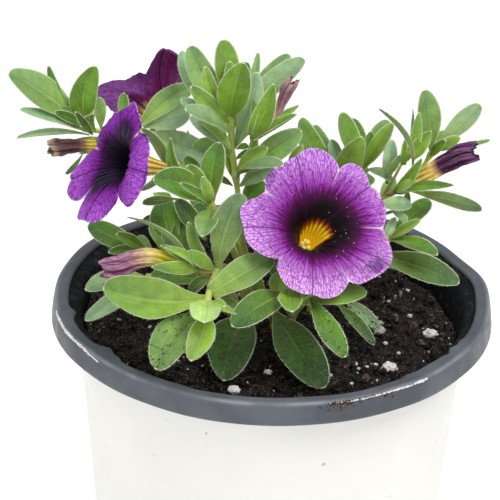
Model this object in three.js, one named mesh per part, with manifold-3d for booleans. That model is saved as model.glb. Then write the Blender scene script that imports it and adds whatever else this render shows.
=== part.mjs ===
// A calibrachoa in its round nursery pot.
// Millimetres, +Z up. The origin is the centre of the pot's flat underside, and the plant's
// best side, with its open front bloom, looks towards -Y.

import * as THREE from 'three';
import * as BufferGeometryUtils from 'three/addons/utils/BufferGeometryUtils.js';
import Module from 'manifold-3d';

const wasm = await Module();
wasm.setup();

// ---------------------------------------------------------------- driving dimensions

// The pot: a thin tapered wall under a thick lip with a hanging skirt.
const POT_HEIGHT = 121;
const FOOT_RADIUS = 39.4;
const NECK_RADIUS = 48.0;
const NECK_HEIGHT = 118.2;
const SKIRT_RADIUS = 54.0;
const SKIRT_DROP = 5.4;
const SKIRT_WALL = 1.6;
const LIP_OUTER_RADIUS = 53.1;
const LIP_INNER_RADIUS = 49.7;
const LIP_BEVEL = 0.5;
const LIP_DRAFT = 0.1;
const SKIRT_DRAFT = 0.8;
const SHOULDER_DROP = 1.4;
const SHOULDER_FLARE = 0.9;
const POT_WALL = 1.5;
const POT_FLOOR = 2.2;
const POT_SIDES = 40;
const DRAIN_HOLES = 4;
const DRAIN_RADIUS = 4;
const DRAIN_RING = 27;
const DRAIN_SIDES = 16;

// The potting mix: its level falls towards +X and rises towards the back.
const CLEARANCE = 0.3;
const MIX_LEVEL = 113;
const MIX_FALL = 0.05;
const MIX_RISE = 0.03;
const LUMP_HEIGHT = 1;
const LUMP_WAVES = [0.3, 0.26];
const LUMP_PHASE = 0.6;
const MIX_EDGE_TAPER = 0.35;
const MIX_CENTRE = 0.5;
const MIX_RINGS = [1, 0.85, 0.68, 0.52, 0.36];

// The stems stand in plain holes in the mix.
const STEM_FOOT = 105;
const STEM_HOLE_GAP = 0.6;
const STEM_HOLE_SIDES = 8;
const STEM_HOLE_TOP = 121;
const STEM_SIDES = 5;
const STEM_STEP = 7;

// The blades: leaves and sepals.
const BLADE_THICKNESS = 0.8;
const BLADE_FOLD = 0.22;
const BLADE_ARCH = 0.1;
const BROAD_LEAF = 6;
const BROAD_STATIONS = [0, 0.2, 0.42, 0.68, 0.9, 1];
const LEAF_STATIONS = [0, 0.28, 0.6, 0.88, 1];
const LEAF_ROOT = 0.55;
const NARROW_LEAF = 3.7;
const NARROW_STATIONS = [0, 0.35, 0.75, 1];
const SEPAL_STATIONS = [0, 0.6, 1];
const BLADE_WIDEST = 0.6;
const BLADE_FOOT = 0.2;
const BLADE_TIP = 0.14;
const BLADE_LEAST_HALF = 0.45;

// The flowers.
const CALYX_RADIUS = 1.5;
const STALK_RADIUS = 0.7;
const SEPAL_STANDOFF = 3.6;
const SEPAL_SEAT = 0.8;
const PETAL_THICKNESS = 0.7;
const LOBE_STEPS = 6;
const LOBE_FULLNESS = 0.6;
const TUBE_LENGTH = 15;
const TUBE_STATIONS = [[0, 1.1], [5, 1.7], [10, 2.6]];
const THROAT_STATIONS = [[11, 1.7], [6, 1.0]];
const THROAT_FLOOR = [5.4, 0.3];
const LIMB_STATIONS = [[0.3, 0.45], [0.62, 0.9], [1, 1]];
const LIMB_RISE = 4;
const RUFFLE = 0.8;
const FOLDED_STATIONS = [[0, 0.45], [0.2, 0.6], [0.42, 0.75], [0.66, 1], [0.86, 0.85], [1, 0.4]];
const FOLDED_SIDES = 10;
const FOLDED_TWIST = 0.8;
const FLUTE_DEPTH = 0.28;

// The whorls of the back stems: from the foot to the tip of each stem, the leaves' spread falls,
// and they get shorter and narrower.
const WHORL_SPREAD = 62;
const WHORL_SPREAD_FALL = 30;
const WHORL_LENGTH_FALL = 0.35;
const WHORL_WIDTH_FALL = 0.3;
const WHORL_LENGTH_PLAY = 0.2;
const WHORL_TURN_PLAY = 0.5;
const WHORL_LEAST_HEIGHT = 123;
const WHORL_HEIGHT_PLAY = 3;
const WHORL_LEAN = 60;

// ---------------------------------------------------------------- materials

const finish = (color, roughness) => new THREE.MeshStandardMaterial({ color, roughness, metalness: 0 });
const POT_PLASTIC = finish(0x5d6065, 0.45);
const POTTING_MIX = finish(0x231b17, 0.95);
const GREEN = finish(0x6f9a45, 0.6);
const VIOLET = finish(0x9a52c8, 0.55);
const DEEP_VIOLET = finish(0x5c1f6e, 0.55);
const WILTED = finish(0x6b4a52, 0.7);
const PINK = finish(0xa06880, 0.6);

// ---------------------------------------------------------------- the plant's plan

// Each leafy stem: root, where it enters the mix; path, the points it passes above the mix; and its
// leaves as rows of share along the stem, tip, width and lean. Leaves turn their upper side to the
// light, which comes from `light` (a compass direction, the front by default), and lean is the
// height of that light above the horizon in degrees. A stalk ends in a calyx with sepals, each a tip
// and a width, and carries a corolla unless it has fallen.

const STEMS = {
  stem_centre: {
    root: [-2.5, 3],
    radius: 1.1,
    path: [[-7.5, 1, 134.5], [-9, 1, 148], [-10.5, 2, 158], [-11, 3, 168]],
    leaves: [
      [0.97, [-9, -4, 182.5], 8, 20],
      [0.99, [-13, 10, 183], 6, 60],
      [0.98, [-20.5, 10, 181.5], 6.5, 50],
      [0.96, [-23, 17, 177.5], 4.5, 50],
      [0.97, [-17, 0, 180], 4, 30],
      [0.95, [-20, -4, 176.5], 3.6, 40],
      [0.92, [-21, -9, 174], 4.5, 60],
      [0.87, [-21, -4, 168], 4.5, 60],
      [0.99, [-4.5, 8, 181], 3, 50],
      [0.98, [-7.5, 10, 177.5], 4, 50],
      [0.96, [-5, 4, 177], 4.5, 35],
      [0.93, [6, 13, 177.5], 6.5, 55],
      [0.96, [2.5, 20, 176], 5, 60],
      [1, [-11.5, 5, 179.5], 3.5, 40],
      [0.82, [-19, 3, 159], 5, 50],
      [0.75, [6, 3, 163], 6.5, 45],
      [0.74, [1, -15, 162.5], 3.5, 70],
      [0.76, [-2, -3, 161], 4, 40],
      [0.84, [-6.5, 13, 155], 3, 50],
      [0.78, [-7, 15, 152], 3, 50],
      [0.7, [-3, 9, 148], 5, 30],
      [0.7, [-15, 5, 150], 4, 40],
    ],
    stalks: [{
      at: 0.73,
      path: [[-7, 0, 157], [-5.5, -2, 163.5]],
      sepals: [
        [[-1, -5, 178], 3.6],
        [[5, 4, 169], 1.8],
        [[4, -8, 172], 1.8],
        [[-5, 6, 172], 2.2],
        [[-3.5, -7, 175.5], 2.2],
      ],
      corolla: {
        name: 'corolla_wilted_centre',
        form: 'folded',
        tip: [3, 0, 177.5],
        girth: 1.7,
        material: WILTED,
      },
    }],
  },

  stem_left: {
    root: [-4, 8],
    radius: 0.9,
    path: [[-8, 9, 132], [-12, 10, 144], [-21, 10, 154], [-33, 8, 160], [-42.5, 7, 160], [-46.5, 6, 161.5]],
    leaves: [
      [0.83, [-20.5, 17, 168], 6.5, 60],
      [0.82, [-17, 15, 150], 7.5, 70],
      [1, [-63, 2, 176], 7, 55],
      [1, [-54, 6, 177], 3, 40],
      [0.95, [-42.5, 4, 178], 6.3, 30],
      [0.94, [-43.5, 10, 164.5], 3.4, 30],
      [0.99, [-60.5, -2, 168.5], 3.4, 60],
      [0.98, [-62, 3, 158], 3, 60],
      [0.87, [-37, 12, 168], 2.8, 30],
      [0.97, [-51, 9, 147.5], 4, 30],
      [1, [-52.5, 0, 167.5], 2.6, 40],
      [0.98, [-40.5, -3, 168], 3, 50],
      [0.91, [-35.5, 15, 162], 3, 40],
      [0.79, [-27, 16, 160], 3.2, 50],
    ],
    stalks: [{
      at: 0.93,
      path: [[-42, 5, 159], [-44, 3, 158]],
      sepals: [
        [[-50.5, 1, 160], 2],
        [[-49.5, 4, 154], 2],
        [[-48, -1, 159], 1.8],
        [[-47, 6, 152], 2],
      ],
      corolla: {
        name: 'corolla_wilted_left',
        form: 'folded',
        tip: [-54, 0, 158],
        girth: 1.8,
        material: WILTED,
      },
    }, {
      at: 0.79,
      path: [[-22.5, 13.5, 151], [-23, 17, 149.5]],
      sepals: [
        [[-30, 18, 152], 2.2],
        [[-27, 25, 153], 2.2],
        [[-20, 24, 156], 2.2],
        [[-21, 17, 158], 2.2],
        [[-29, 16, 156], 2.2],
      ],
      corolla: {
        name: 'corolla_back',
        form: 'open',
        axis: [-0.465, 0.6, 0.652],
        lobes: [[20, 11.5], [92, 11], [164, 11.5], [236, 12], [308, 11.5]],
        sinuses: [[56, 9], [128, 9], [200, 9], [272, 9.5], [344, 9]],
        material: DEEP_VIOLET,
      },
    }],
  },

  stem_mid_left: {
    root: [-4.5, -1],
    radius: 0.9,
    path: [[-8.5, -5, 131.5], [-12.5, -9, 142.5], [-14.5, -12, 148.5], [-16, -14, 153]],
    leaves: [
      [0.93, [-13.5, -9, 165], 5.6, 30],
      [0.94, [-28, -20, 160], 6.3, 50],
      [1, [-22, -13, 159.5], 4.6, 30],
      [0.96, [-17, -19, 160.5], 2.6, 30],
      [0.92, [-16.5, -25, 148], 5.8, 60],
      [0.92, [-19, -6, 156], 3.5, 40],
      [0.88, [-10.5, -4, 151.5], 3, 30],
    ],
    stalks: [{
      at: 0.98,
      path: [[-18, -11, 155], [-21, -10, 157.5]],
      sepals: [
        [[-31.5, -12, 169], 2.6],
        [[-24.5, -6, 164.5], 2.4],
        [[-27.5, -14, 153.5], 2.4],
        [[-28, -16, 160], 2.2],
        [[-25, -3, 152], 2.2],
      ],
      corolla: {
        name: 'corolla_left',
        form: 'open',
        axis: [-0.785, -0.52, 0.335],
        lobes: [[30, 13], [100, 14.3], [160, 11.5], [232, 17.5], [290, 15]],
        sinuses: [[78, 12], [128, 11.5], [182, 10], [262, 15.5], [335, 9]],
        material: VIOLET,
      },
    }],
  },

  stem_front_left: {
    root: [-5.5, -5],
    radius: 0.9,
    path: [[-8.5, -12, 130.5], [-12, -18, 137], [-14, -24, 137], [-15, -30, 135], [-15.5, -33, 133]],
    leaves: [
      [0.94, [-38.5, -33, 138], 9.5, 60],
      [0.91, [-0.5, -22, 142.5], 7, 50],
      [0.76, [-8.5, -15, 154.5], 5.4, 40],
      [0.77, [-20.5, -25, 144], 3.4, 40],
      [0.96, [-15.5, -44, 136], 6.4, 60],
      [1, [-18.5, -46, 127], 5.5, 60],
      [1, [-26.5, -44, 123.5], 8.4, 55],
      [0.98, [-11, -40, 138], 2.6, 60],
    ],
    stalks: [{
      at: 0.76,
      path: [[-16, -23, 138], [-18.5, -24, 139]],
      sepals: [
        [[-34.5, -17, 148.5], 2],
        [[-28, -31, 143], 3.2],
        [[-25, -29, 147], 2.8],
        [[-27.5, -22, 136], 3],
        [[-26.5, -20, 143.5], 2],
      ],
      corolla: {
        name: 'corolla_bud_front',
        form: 'folded',
        tip: [-39.5, -27, 140.5],
        girth: 2.4,
        material: PINK,
      },
    }],
  },

  stem_low_left: {
    root: [-9, -3],
    radius: 0.8,
    path: [[-19.5, -8, 123.5], [-26, -10, 128.5], [-30.5, -10, 130]],
    leaves: [
      [0.97, [-44, -15, 128], 6, 60],
      [0.97, [-44, -22, 124], 5.5, 60],
      [0.83, [-33.5, -4, 130.5], 5, 60],
    ],
  },

  stem_inner_left: {
    root: [-8, 3],
    radius: 0.8,
    path: [[-14, 0, 122], [-20.5, -2, 130], [-24.5, -3, 134.5]],
    leaves: [
      [0.96, [-25, 4, 144.5], 7, 45],
      [0.88, [-20.5, 0, 141], 7.5, 45],
      [0.91, [-17, 8, 141], 6, 45],
      [0.98, [-27.5, -6, 142], 3.6, 45],
      [0.94, [-32, 10, 140], 4.5, 45],
    ],
  },

  stem_back_left: {
    root: [-9, 8],
    radius: 0.8,
    path: [[-18, 8, 122], [-26, 9, 125.5], [-32.5, 8, 128]],
    leaves: [
      [1, [-45.5, 8, 135], 6.5, 50],
      [0.97, [-39, 3, 135.5], 4.5, 50],
      [0.94, [-41, 2, 130], 4.5, 60],
      [0.91, [-36, 18, 130], 5, 50],
      [0.84, [-31, 22, 129], 5.5, 50],
    ],
  },

  stem_low_right: {
    root: [0.5, -5.5],
    radius: 0.9,
    path: [[-1, -13, 124], [0.5, -20, 129], [3.5, -26, 132], [6, -28, 132.5]],
    leaves: [
      [0.88, [3.5, -35, 135.5], 5, 60],
      [1, [16.5, -40, 126], 5.6, 55],
      [1, [21.5, -24, 134], 4.4, 60],
      [0.85, [-9.5, -38, 131.5], 7, 55],
      [0.76, [2, -18, 136], 6, 60],
      [0.45, [13, -34, 115.5], 10.4, 50],
      [0.4, [-9, -33, 116], 11, 50],
      [0.9, [26, -16, 119.5], 3.4, 50],
      [0.9, [24, -22, 118.5], 3, 50],
      [0.53, [-8, -8, 133], 4, 50],
    ],
  },

  stem_front_bloom: {
    root: [1, -0.5],
    radius: 0.8,
    path: [[2, -3, 121], [4, -6, 128]],
    leaves: [
      [0.81, [-3, -4, 138.5], 4.5, 50],
    ],
    stalks: [{
      at: 0.98,
      path: [[5, -7, 131.5], [5.9, -7.4, 133.2]],
      sepals: [
        [[16, -8, 139], 2.4],
        [[10, 1, 142], 2.4],
        [[2, -2, 144], 2.4],
        [[-2, -11, 140], 2.4],
        [[9, -14, 131], 2.4],
      ],
      corolla: {
        name: 'corolla_front',
        form: 'open',
        axis: [0.15, -0.62, 0.77],
        lobes: [[42, 17.1], [99, 18.4], [186, 17.1], [271, 18.8], [334, 19.3]],
        sinuses: [[0, 16.3], [67, 15.8], [149, 13.6], [231, 12.7], [301, 16.1]],
        material: VIOLET,
      },
    }],
  },

  stem_right_back: {
    root: [3, 9],
    radius: 0.9,
    path: [[12, 14, 129], [18.5, 14, 142], [22, 12, 149.5]],
    leaves: [
      [1, [16, 14, 163.5], 4.4, 40],
      [1, [18.5, 20, 159.5], 4.6, 40],
      [0.96, [19, 4, 162.5], 6.4, 30],
      [1, [27.5, 17, 160.5], 5.4, 45],
      [1, [28, 8, 163.5], 3.8, 40],
      [1, [27.5, 1, 153], 2.6, 60],
      [0.85, [6, 16, 161], 6.4, 40],
      [0.85, [10.5, 23, 155.5], 6, 40],
      [1, [23, 10, 160.5], 2.8, 40],
      [0.74, [6.5, 22, 144.5], 5, 50],
      [0.79, [24.5, 26, 141.5], 5, 50],
      [1, [30.5, 16, 152], 3, 50],
    ],
  },

  stem_right: {
    root: [4.5, 4.5],
    radius: 0.9,
    path: [[14, 6, 125], [22, 4, 139], [27.5, 2, 147], [31, 2, 151], [35.5, 3, 155], [38, 3, 159]],
    leaves: [
      [0.99, [34.5, 6, 173], 5.4, 40],
      [1, [48.5, 10, 168], 5, 50],
      [1, [43.5, 0, 163.5], 3, 40],
      [1, [41, 8, 161.5], 3, 40],
      [0.86, [50, 2, 144], 3.6, 60],
      [0.8, [28, 6, 160], 3, 40],
      [0.81, [30, 0, 159], 2.6, 40],
      [0.76, [30, -8, 152.5], 3.4, 50],
      [0.97, [38, -2, 165.5], 3, 40],
    ],
    stalks: [{
      at: 0.76,
      path: [[29, 2, 151.5], [30.5, 1, 156]],
      sepals: [
        [[32, 5, 162], 2.4],
        [[33.5, 1, 163.5], 3],
        [[35.5, -3, 164], 3],
        [[24, 0, 170.5], 1.3],
        [[32, 4, 168.5], 1.4],
      ],
    }, {
      at: 0.75,
      path: [[28, 0, 148.5], [29.5, -1, 150]],
      sepals: [
        [[34, -6, 160.5], 3],
        [[41.5, -8, 154], 2.8],
        [[38.5, -3, 148], 2.6],
        [[32.5, -9, 157.5], 2.4],
        [[37, 4, 153.5], 2.4],
      ],
      corolla: {
        name: 'corolla_closed_right',
        form: 'folded',
        tip: [47, -7, 163.5],
        girth: 2.6,
        material: DEEP_VIOLET,
      },
    }],
  },

  stem_right_low: {
    root: [5.5, -0.5],
    radius: 0.9,
    path: [[14, -1, 125], [22, -3, 133], [27.5, -5, 139]],
    leaves: [
      [1, [33, -3, 146.5], 4.5, 50],
      [1, [38, 7, 145], 5.4, 50],
      [1, [34.5, -9, 146], 2.6, 50],
      [1, [39.5, -5, 135.5], 4, 60],
      [0.97, [43.5, -15, 132.5], 7.2, 55],
      [0.93, [29.5, -2, 144], 4, 50],
      [0.88, [19.5, 6, 127], 4, 50],
    ],
  },

  stem_back_1: {
    root: [-4, 13],
    radius: 0.9,
    light: [-0.4, 1],
    path: [[-5, 15, 119], [-11, 21, 124], [-19, 27, 126], [-26, 31, 128]],
    whorl: { count: 6, first: 0.5, length: 16, width: 6, seed: 11 },
  },

  stem_back_2: {
    root: [1, 15],
    radius: 0.9,
    light: [0, 1],
    path: [[2, 24, 124], [1, 31, 130], [0, 37, 133]],
    whorl: { count: 6, first: 0.5, length: 15, width: 6, seed: 23 },
  },

  stem_back_3: {
    root: [8, 12],
    radius: 0.9,
    light: [0.6, 0.8],
    path: [[15, 19, 121], [23, 25, 127], [28, 29, 130]],
    whorl: { count: 7, first: 0.5, length: 15, width: 5.5, seed: 37 },
  },

  stem_back_4: {
    root: [10, 6],
    radius: 0.9,
    light: [1, 0.5],
    path: [[21, 7.5, 120], [32, 9, 124], [40, 10, 127]],
    whorl: { count: 7, first: 0.55, length: 14, width: 5.5, seed: 41 },
  },
};

// White perlite grains on the mix: place and diameter.
const PERLITE = [
  [[28.5, -24], 3.2], [[26, -8], 2.5], [[38.5, -13], 3], [[-8, -34], 2.8], [[0, -29], 1.8],
  [[-36, -8], 1.8], [[20, -34], 1.4],
];

// ---------------------------------------------------------------- solids by code

function solidOf(geometry) {
  const bare = geometry.clone();
  for (const name of Object.keys(bare.attributes)) {
    if (name !== 'position') bare.deleteAttribute(name);
  }
  const merged = BufferGeometryUtils.mergeVertices(bare, 1e-4);
  const mesh = new wasm.Mesh({
    numProp: 3,
    vertProperties: new Float32Array(merged.attributes.position.array),
    triVerts: new Uint32Array(merged.index.array),
  });
  return new wasm.Manifold(mesh);
}

// One body under a name: a hollow that joining has sealed is filled.
function meshOf(name, solid, material) {
  const bodies = solid.decompose().sort((one, other) => other.volume() - one.volume());
  const { vertProperties, triVerts } = bodies[0].getMesh();
  const geometry = new THREE.BufferGeometry();
  geometry.setAttribute('position', new THREE.BufferAttribute(vertProperties.slice(), 3));
  geometry.setIndex(new THREE.BufferAttribute(triVerts.slice(), 1));
  geometry.computeVertexNormals();
  const mesh = new THREE.Mesh(geometry, material);
  mesh.name = name;
  return mesh;
}

// A closed skin through rings of points with the same number of points each, capped at both ends.
function ringGeometry(rings) {
  const sides = rings[0].length;
  const positions = rings.flat().flatMap((point) => point.toArray());
  const faces = [];
  for (let ring = 0; ring + 1 < rings.length; ring += 1) {
    for (let side = 0; side < sides; side += 1) {
      const a = ring * sides + side;
      const b = ring * sides + (side + 1) % sides;
      faces.push(a, b, b + sides, a, b + sides, a + sides);
    }
  }
  const last = (rings.length - 1) * sides;
  for (let side = 1; side + 1 < sides; side += 1) {
    faces.push(0, side + 1, side);
    faces.push(last, last + side, last + side + 1);
  }
  const geometry = new THREE.BufferGeometry();
  geometry.setAttribute('position', new THREE.Float32BufferAttribute(positions, 3));
  geometry.setIndex(faces);
  return geometry;
}

function tubeGeometry(curve, radius) {
  const outline = new THREE.Shape();
  for (let side = 0; side < STEM_SIDES; side += 1) {
    const angle = (side / STEM_SIDES) * Math.PI * 2;
    const x = Math.cos(angle) * radius;
    const y = Math.sin(angle) * radius;
    if (side === 0) outline.moveTo(x, y);
    else outline.lineTo(x, y);
  }
  outline.closePath();
  const steps = Math.max(2, Math.round(curve.getLength() / STEM_STEP));
  return new THREE.ExtrudeGeometry(outline, { steps, bevelEnabled: false, extrudePath: curve });
}

const vector = (list) => new THREE.Vector3(...list);

// ---------------------------------------------------------------- blades

// The half width of a blade, as a share of its widest, at a share t of its length.
function leafOutline(t) {
  if (t < BLADE_WIDEST) {
    return BLADE_FOOT + (1 - BLADE_FOOT) * Math.sin((t / BLADE_WIDEST) * Math.PI / 2) ** 1.4;
  }
  const past = (t - BLADE_WIDEST) / (1.01 - BLADE_WIDEST);
  return Math.max(BLADE_TIP, Math.sqrt(1 - past ** 2));
}

function bladeGeometry({ base, tip, width, facing, stations }) {
  const chord = tip.clone().sub(base);
  const length = chord.length();
  const along = chord.clone().normalize();
  const side = new THREE.Vector3().crossVectors(along, facing).normalize();
  const up = new THREE.Vector3().crossVectors(side, along);
  const rings = stations.map((t) => {
    const half = Math.max(BLADE_LEAST_HALF, leafOutline(t) * width / 2);
    const middle = base.clone().addScaledVector(chord, t);
    middle.addScaledVector(up, 4 * t * (1 - t) * BLADE_ARCH * length);
    const edgeLift = half * BLADE_FOLD;
    return [
      middle.clone().addScaledVector(side, half).addScaledVector(up, edgeLift),
      middle.clone().addScaledVector(up, -BLADE_THICKNESS / 2),
      middle.clone().addScaledVector(side, -half).addScaledVector(up, edgeLift),
      middle.clone().addScaledVector(up, BLADE_THICKNESS / 2),
    ];
  });
  return ringGeometry(rings);
}

// ---------------------------------------------------------------- leafy stems

const GOLDEN_ANGLE = THREE.MathUtils.degToRad(137.5);

function randomDraws(seed) {
  let state = seed;
  return () => {
    state = (Math.imul(state, 1664525) + 1013904223) >>> 0;
    return state / 4294967296;
  };
}

// Leaf rows of a stem that follows the rule of its kind: one leaf each golden angle, spread wide
// at the foot and close at the tip, and held above the lip of the pot.
function whorlRows(curve, { count, first, length, width, seed }) {
  const draw = randomDraws(seed);
  const rows = [];
  for (let index = 0; index < count; index += 1) {
    const rise = index / (count - 1);
    const share = first + (1 - first) * rise;
    const point = curve.getPointAt(share);
    const along = curve.getTangentAt(share);
    const acrossA = new THREE.Vector3().crossVectors(along, new THREE.Vector3(0, 0, 1)).normalize();
    const acrossB = new THREE.Vector3().crossVectors(acrossA, along);
    const turn = index * GOLDEN_ANGLE + draw() * WHORL_TURN_PLAY;
    const spread = THREE.MathUtils.degToRad(WHORL_SPREAD - WHORL_SPREAD_FALL * rise);
    const play = 1 + WHORL_LENGTH_PLAY * (draw() - 0.5);
    const reach = length * (1 - WHORL_LENGTH_FALL * rise) * play;
    const tip = point.clone().addScaledVector(along, reach * Math.cos(spread));
    tip.addScaledVector(acrossA, reach * Math.sin(spread) * Math.cos(turn));
    tip.addScaledVector(acrossB, reach * Math.sin(spread) * Math.sin(turn));
    tip.z = Math.max(tip.z, WHORL_LEAST_HEIGHT + WHORL_HEIGHT_PLAY * draw());
    rows.push([share, tip.toArray(), width * (1 - WHORL_WIDTH_FALL * rise), WHORL_LEAN]);
  }
  return rows;
}

function stemCurve({ root, path }) {
  const [x, y] = root;
  const buried = [STEM_FOOT, (STEM_FOOT + MIX_LEVEL) / 2 + 1, MIX_LEVEL + 2].map((z) => [x, y, z]);
  return new THREE.CatmullRomCurve3([...buried, ...path].map(vector));
}

function leafStations(width) {
  if (width < NARROW_LEAF) return NARROW_STATIONS;
  return width < BROAD_LEAF ? LEAF_STATIONS : BROAD_STATIONS;
}

function leafSolid(curve, light, [share, tip, width, lean]) {
  const [lightX, lightY] = light;
  const compass = new THREE.Vector3(lightX, lightY, 0).normalize();
  const height = THREE.MathUtils.degToRad(lean);
  const facing = compass.multiplyScalar(Math.cos(height));
  facing.z = Math.sin(height);
  const along = curve.getTangentAt(share);
  const base = curve.getPointAt(share);
  const outward = vector(tip).sub(base);
  outward.addScaledVector(along, -outward.dot(along)).setLength(LEAF_ROOT);
  return solidOf(bladeGeometry({
    base: base.add(outward),
    tip: vector(tip),
    width,
    facing,
    stations: leafStations(width),
  }));
}

// Where a flower's corolla starts and which way it points, from its stalk.
function flowerSeat(stalk) {
  const end = vector(stalk.path.at(-1));
  const { corolla } = stalk;
  let axis = end.clone().sub(vector(stalk.path.at(-2)));
  if (corolla?.form === 'open') axis = vector(corolla.axis);
  if (corolla?.form === 'folded') axis = vector(corolla.tip).sub(end);
  axis.normalize();
  const seat = end.clone().addScaledVector(axis, CALYX_RADIUS + CLEARANCE);
  return { end, axis, seat };
}

function stalkSolids(curve, stalk) {
  const { end, axis } = flowerSeat(stalk);
  const stalkCurve = new THREE.CatmullRomCurve3([curve.getPointAt(stalk.at), ...stalk.path.map(vector)]);
  const cup = new THREE.IcosahedronGeometry(CALYX_RADIUS, 0).translate(...end.toArray());
  const parts = [solidOf(tubeGeometry(stalkCurve, STALK_RADIUS)), solidOf(cup)];
  for (const [tip, width] of stalk.sepals) {
    const reach = vector(tip).sub(end);
    const outward = reach.clone().addScaledVector(axis, -reach.dot(axis));
    const standoff = Math.max(0, SEPAL_STANDOFF - outward.length());
    outward.normalize();
    parts.push(solidOf(bladeGeometry({
      base: end.clone().addScaledVector(outward, CALYX_RADIUS * SEPAL_SEAT),
      tip: vector(tip).addScaledVector(outward, standoff),
      width,
      facing: outward,
      stations: SEPAL_STATIONS,
    })));
  }
  return parts;
}

function leafyStem(name, plan) {
  const curve = stemCurve(plan);
  const light = plan.light ?? [0, -1];
  const rows = plan.leaves ?? whorlRows(curve, plan.whorl);
  const parts = [solidOf(tubeGeometry(curve, plan.radius))];
  for (const row of rows) parts.push(leafSolid(curve, light, row));
  for (const stalk of plan.stalks ?? []) parts.push(...stalkSolids(curve, stalk));
  return meshOf(name, wasm.Manifold.union(parts), GREEN);
}

// ---------------------------------------------------------------- corollas

// Two directions square to a flower's axis: the first as near as can be to +X, or to the front
// where the flower itself looks sideways.
function squareTo(axis) {
  const guess = axis.x < -0.7 ? new THREE.Vector3(0, -1, 0) : new THREE.Vector3(1, 0, 0);
  const first = guess.addScaledVector(axis, -guess.dot(axis)).normalize();
  return { first, second: new THREE.Vector3().crossVectors(axis, first) };
}

// The limb's outline: a list of [angle, reach] that runs through sinuses and lobes in turn, with a
// round lobe and a sharp sinus.
function limbOutline(lobes, sinuses) {
  const outline = [];
  for (let index = 0; index < lobes.length; index += 1) {
    const [lobeAngle, lobeReach] = lobes[index];
    for (const side of [-1, 1]) {
      const angleTo = (angle) => THREE.MathUtils.euclideanModulo(side * (angle - lobeAngle), 360);
      const [sinusAngle, sinusReach] = sinuses.reduce((best, next) => (
        angleTo(next[0]) < angleTo(best[0]) ? next : best));
      const half = angleTo(sinusAngle);
      const steps = Math.ceil(LOBE_STEPS / 2);
      const shares = Array.from({ length: steps + (side > 0 ? 1 : 0) }, (_, step) => step / steps);
      const points = shares.map((share) => {
        const away = side > 0 ? share : 1 - share;
        const reach = sinusReach + (lobeReach - sinusReach) * Math.cos(away * Math.PI / 2) ** LOBE_FULLNESS;
        return [lobeAngle + side * half * away, reach, away];
      });
      if (side > 0) points.pop();
      outline.push(...points);
    }
  }
  return outline;
}

function openCorolla(stalk) {
  const { name, lobes, sinuses, material } = stalk.corolla;
  const { axis, seat } = flowerSeat(stalk);
  const { first, second } = squareTo(axis);
  const outline = limbOutline(lobes, sinuses);
  const at = (along, reach, degrees) => {
    const angle = THREE.MathUtils.degToRad(degrees);
    return seat.clone()
      .addScaledVector(axis, along)
      .addScaledVector(first, Math.cos(angle) * reach)
      .addScaledVector(second, Math.sin(angle) * reach);
  };
  const round = ([along, radius]) => outline.map(([angle]) => at(along, radius, angle));
  const limb = ([share, rise], lift) => outline.map(([angle, reach, away]) => {
    const ruffle = RUFFLE * share ** 2 * Math.cos(away * Math.PI);
    return at(TUBE_LENGTH + rise * LIMB_RISE + ruffle + lift, reach * share, angle);
  });
  const rings = [
    ...TUBE_STATIONS.map(round),
    ...LIMB_STATIONS.map((station) => limb(station, -PETAL_THICKNESS)),
    ...LIMB_STATIONS.toReversed().map((station) => limb(station, 0)),
    ...THROAT_STATIONS.map(round),
    round(THROAT_FLOOR),
  ];
  return meshOf(name, solidOf(ringGeometry(rings)), material);
}

// A corolla that is still rolled up, or has closed again: a slim tube and a fluted club.
function foldedCorolla(stalk) {
  const { name, tip, girth, material } = stalk.corolla;
  const { axis, seat } = flowerSeat(stalk);
  const { first, second } = squareTo(axis);
  const length = vector(tip).sub(seat).length();
  const rings = FOLDED_STATIONS.map(([share, swell]) => (
    Array.from({ length: FOLDED_SIDES }, (_, side) => {
      const angle = (side / FOLDED_SIDES) * Math.PI * 2 + share * FOLDED_TWIST;
      const flute = side % 2 === 0 ? 1 : 1 - FLUTE_DEPTH * share;
      return seat.clone()
        .addScaledVector(axis, length * share)
        .addScaledVector(first, Math.cos(angle) * girth * swell * flute)
        .addScaledVector(second, Math.sin(angle) * girth * swell * flute);
    })
  ));
  return meshOf(name, solidOf(ringGeometry(rings)), material);
}

// ---------------------------------------------------------------- pot and mix

const neckSlope = (NECK_RADIUS - FOOT_RADIUS) / NECK_HEIGHT;
const wallOutside = (z) => FOOT_RADIUS + neckSlope * z;
const wallInside = (z) => wallOutside(z) - POT_WALL;

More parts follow.
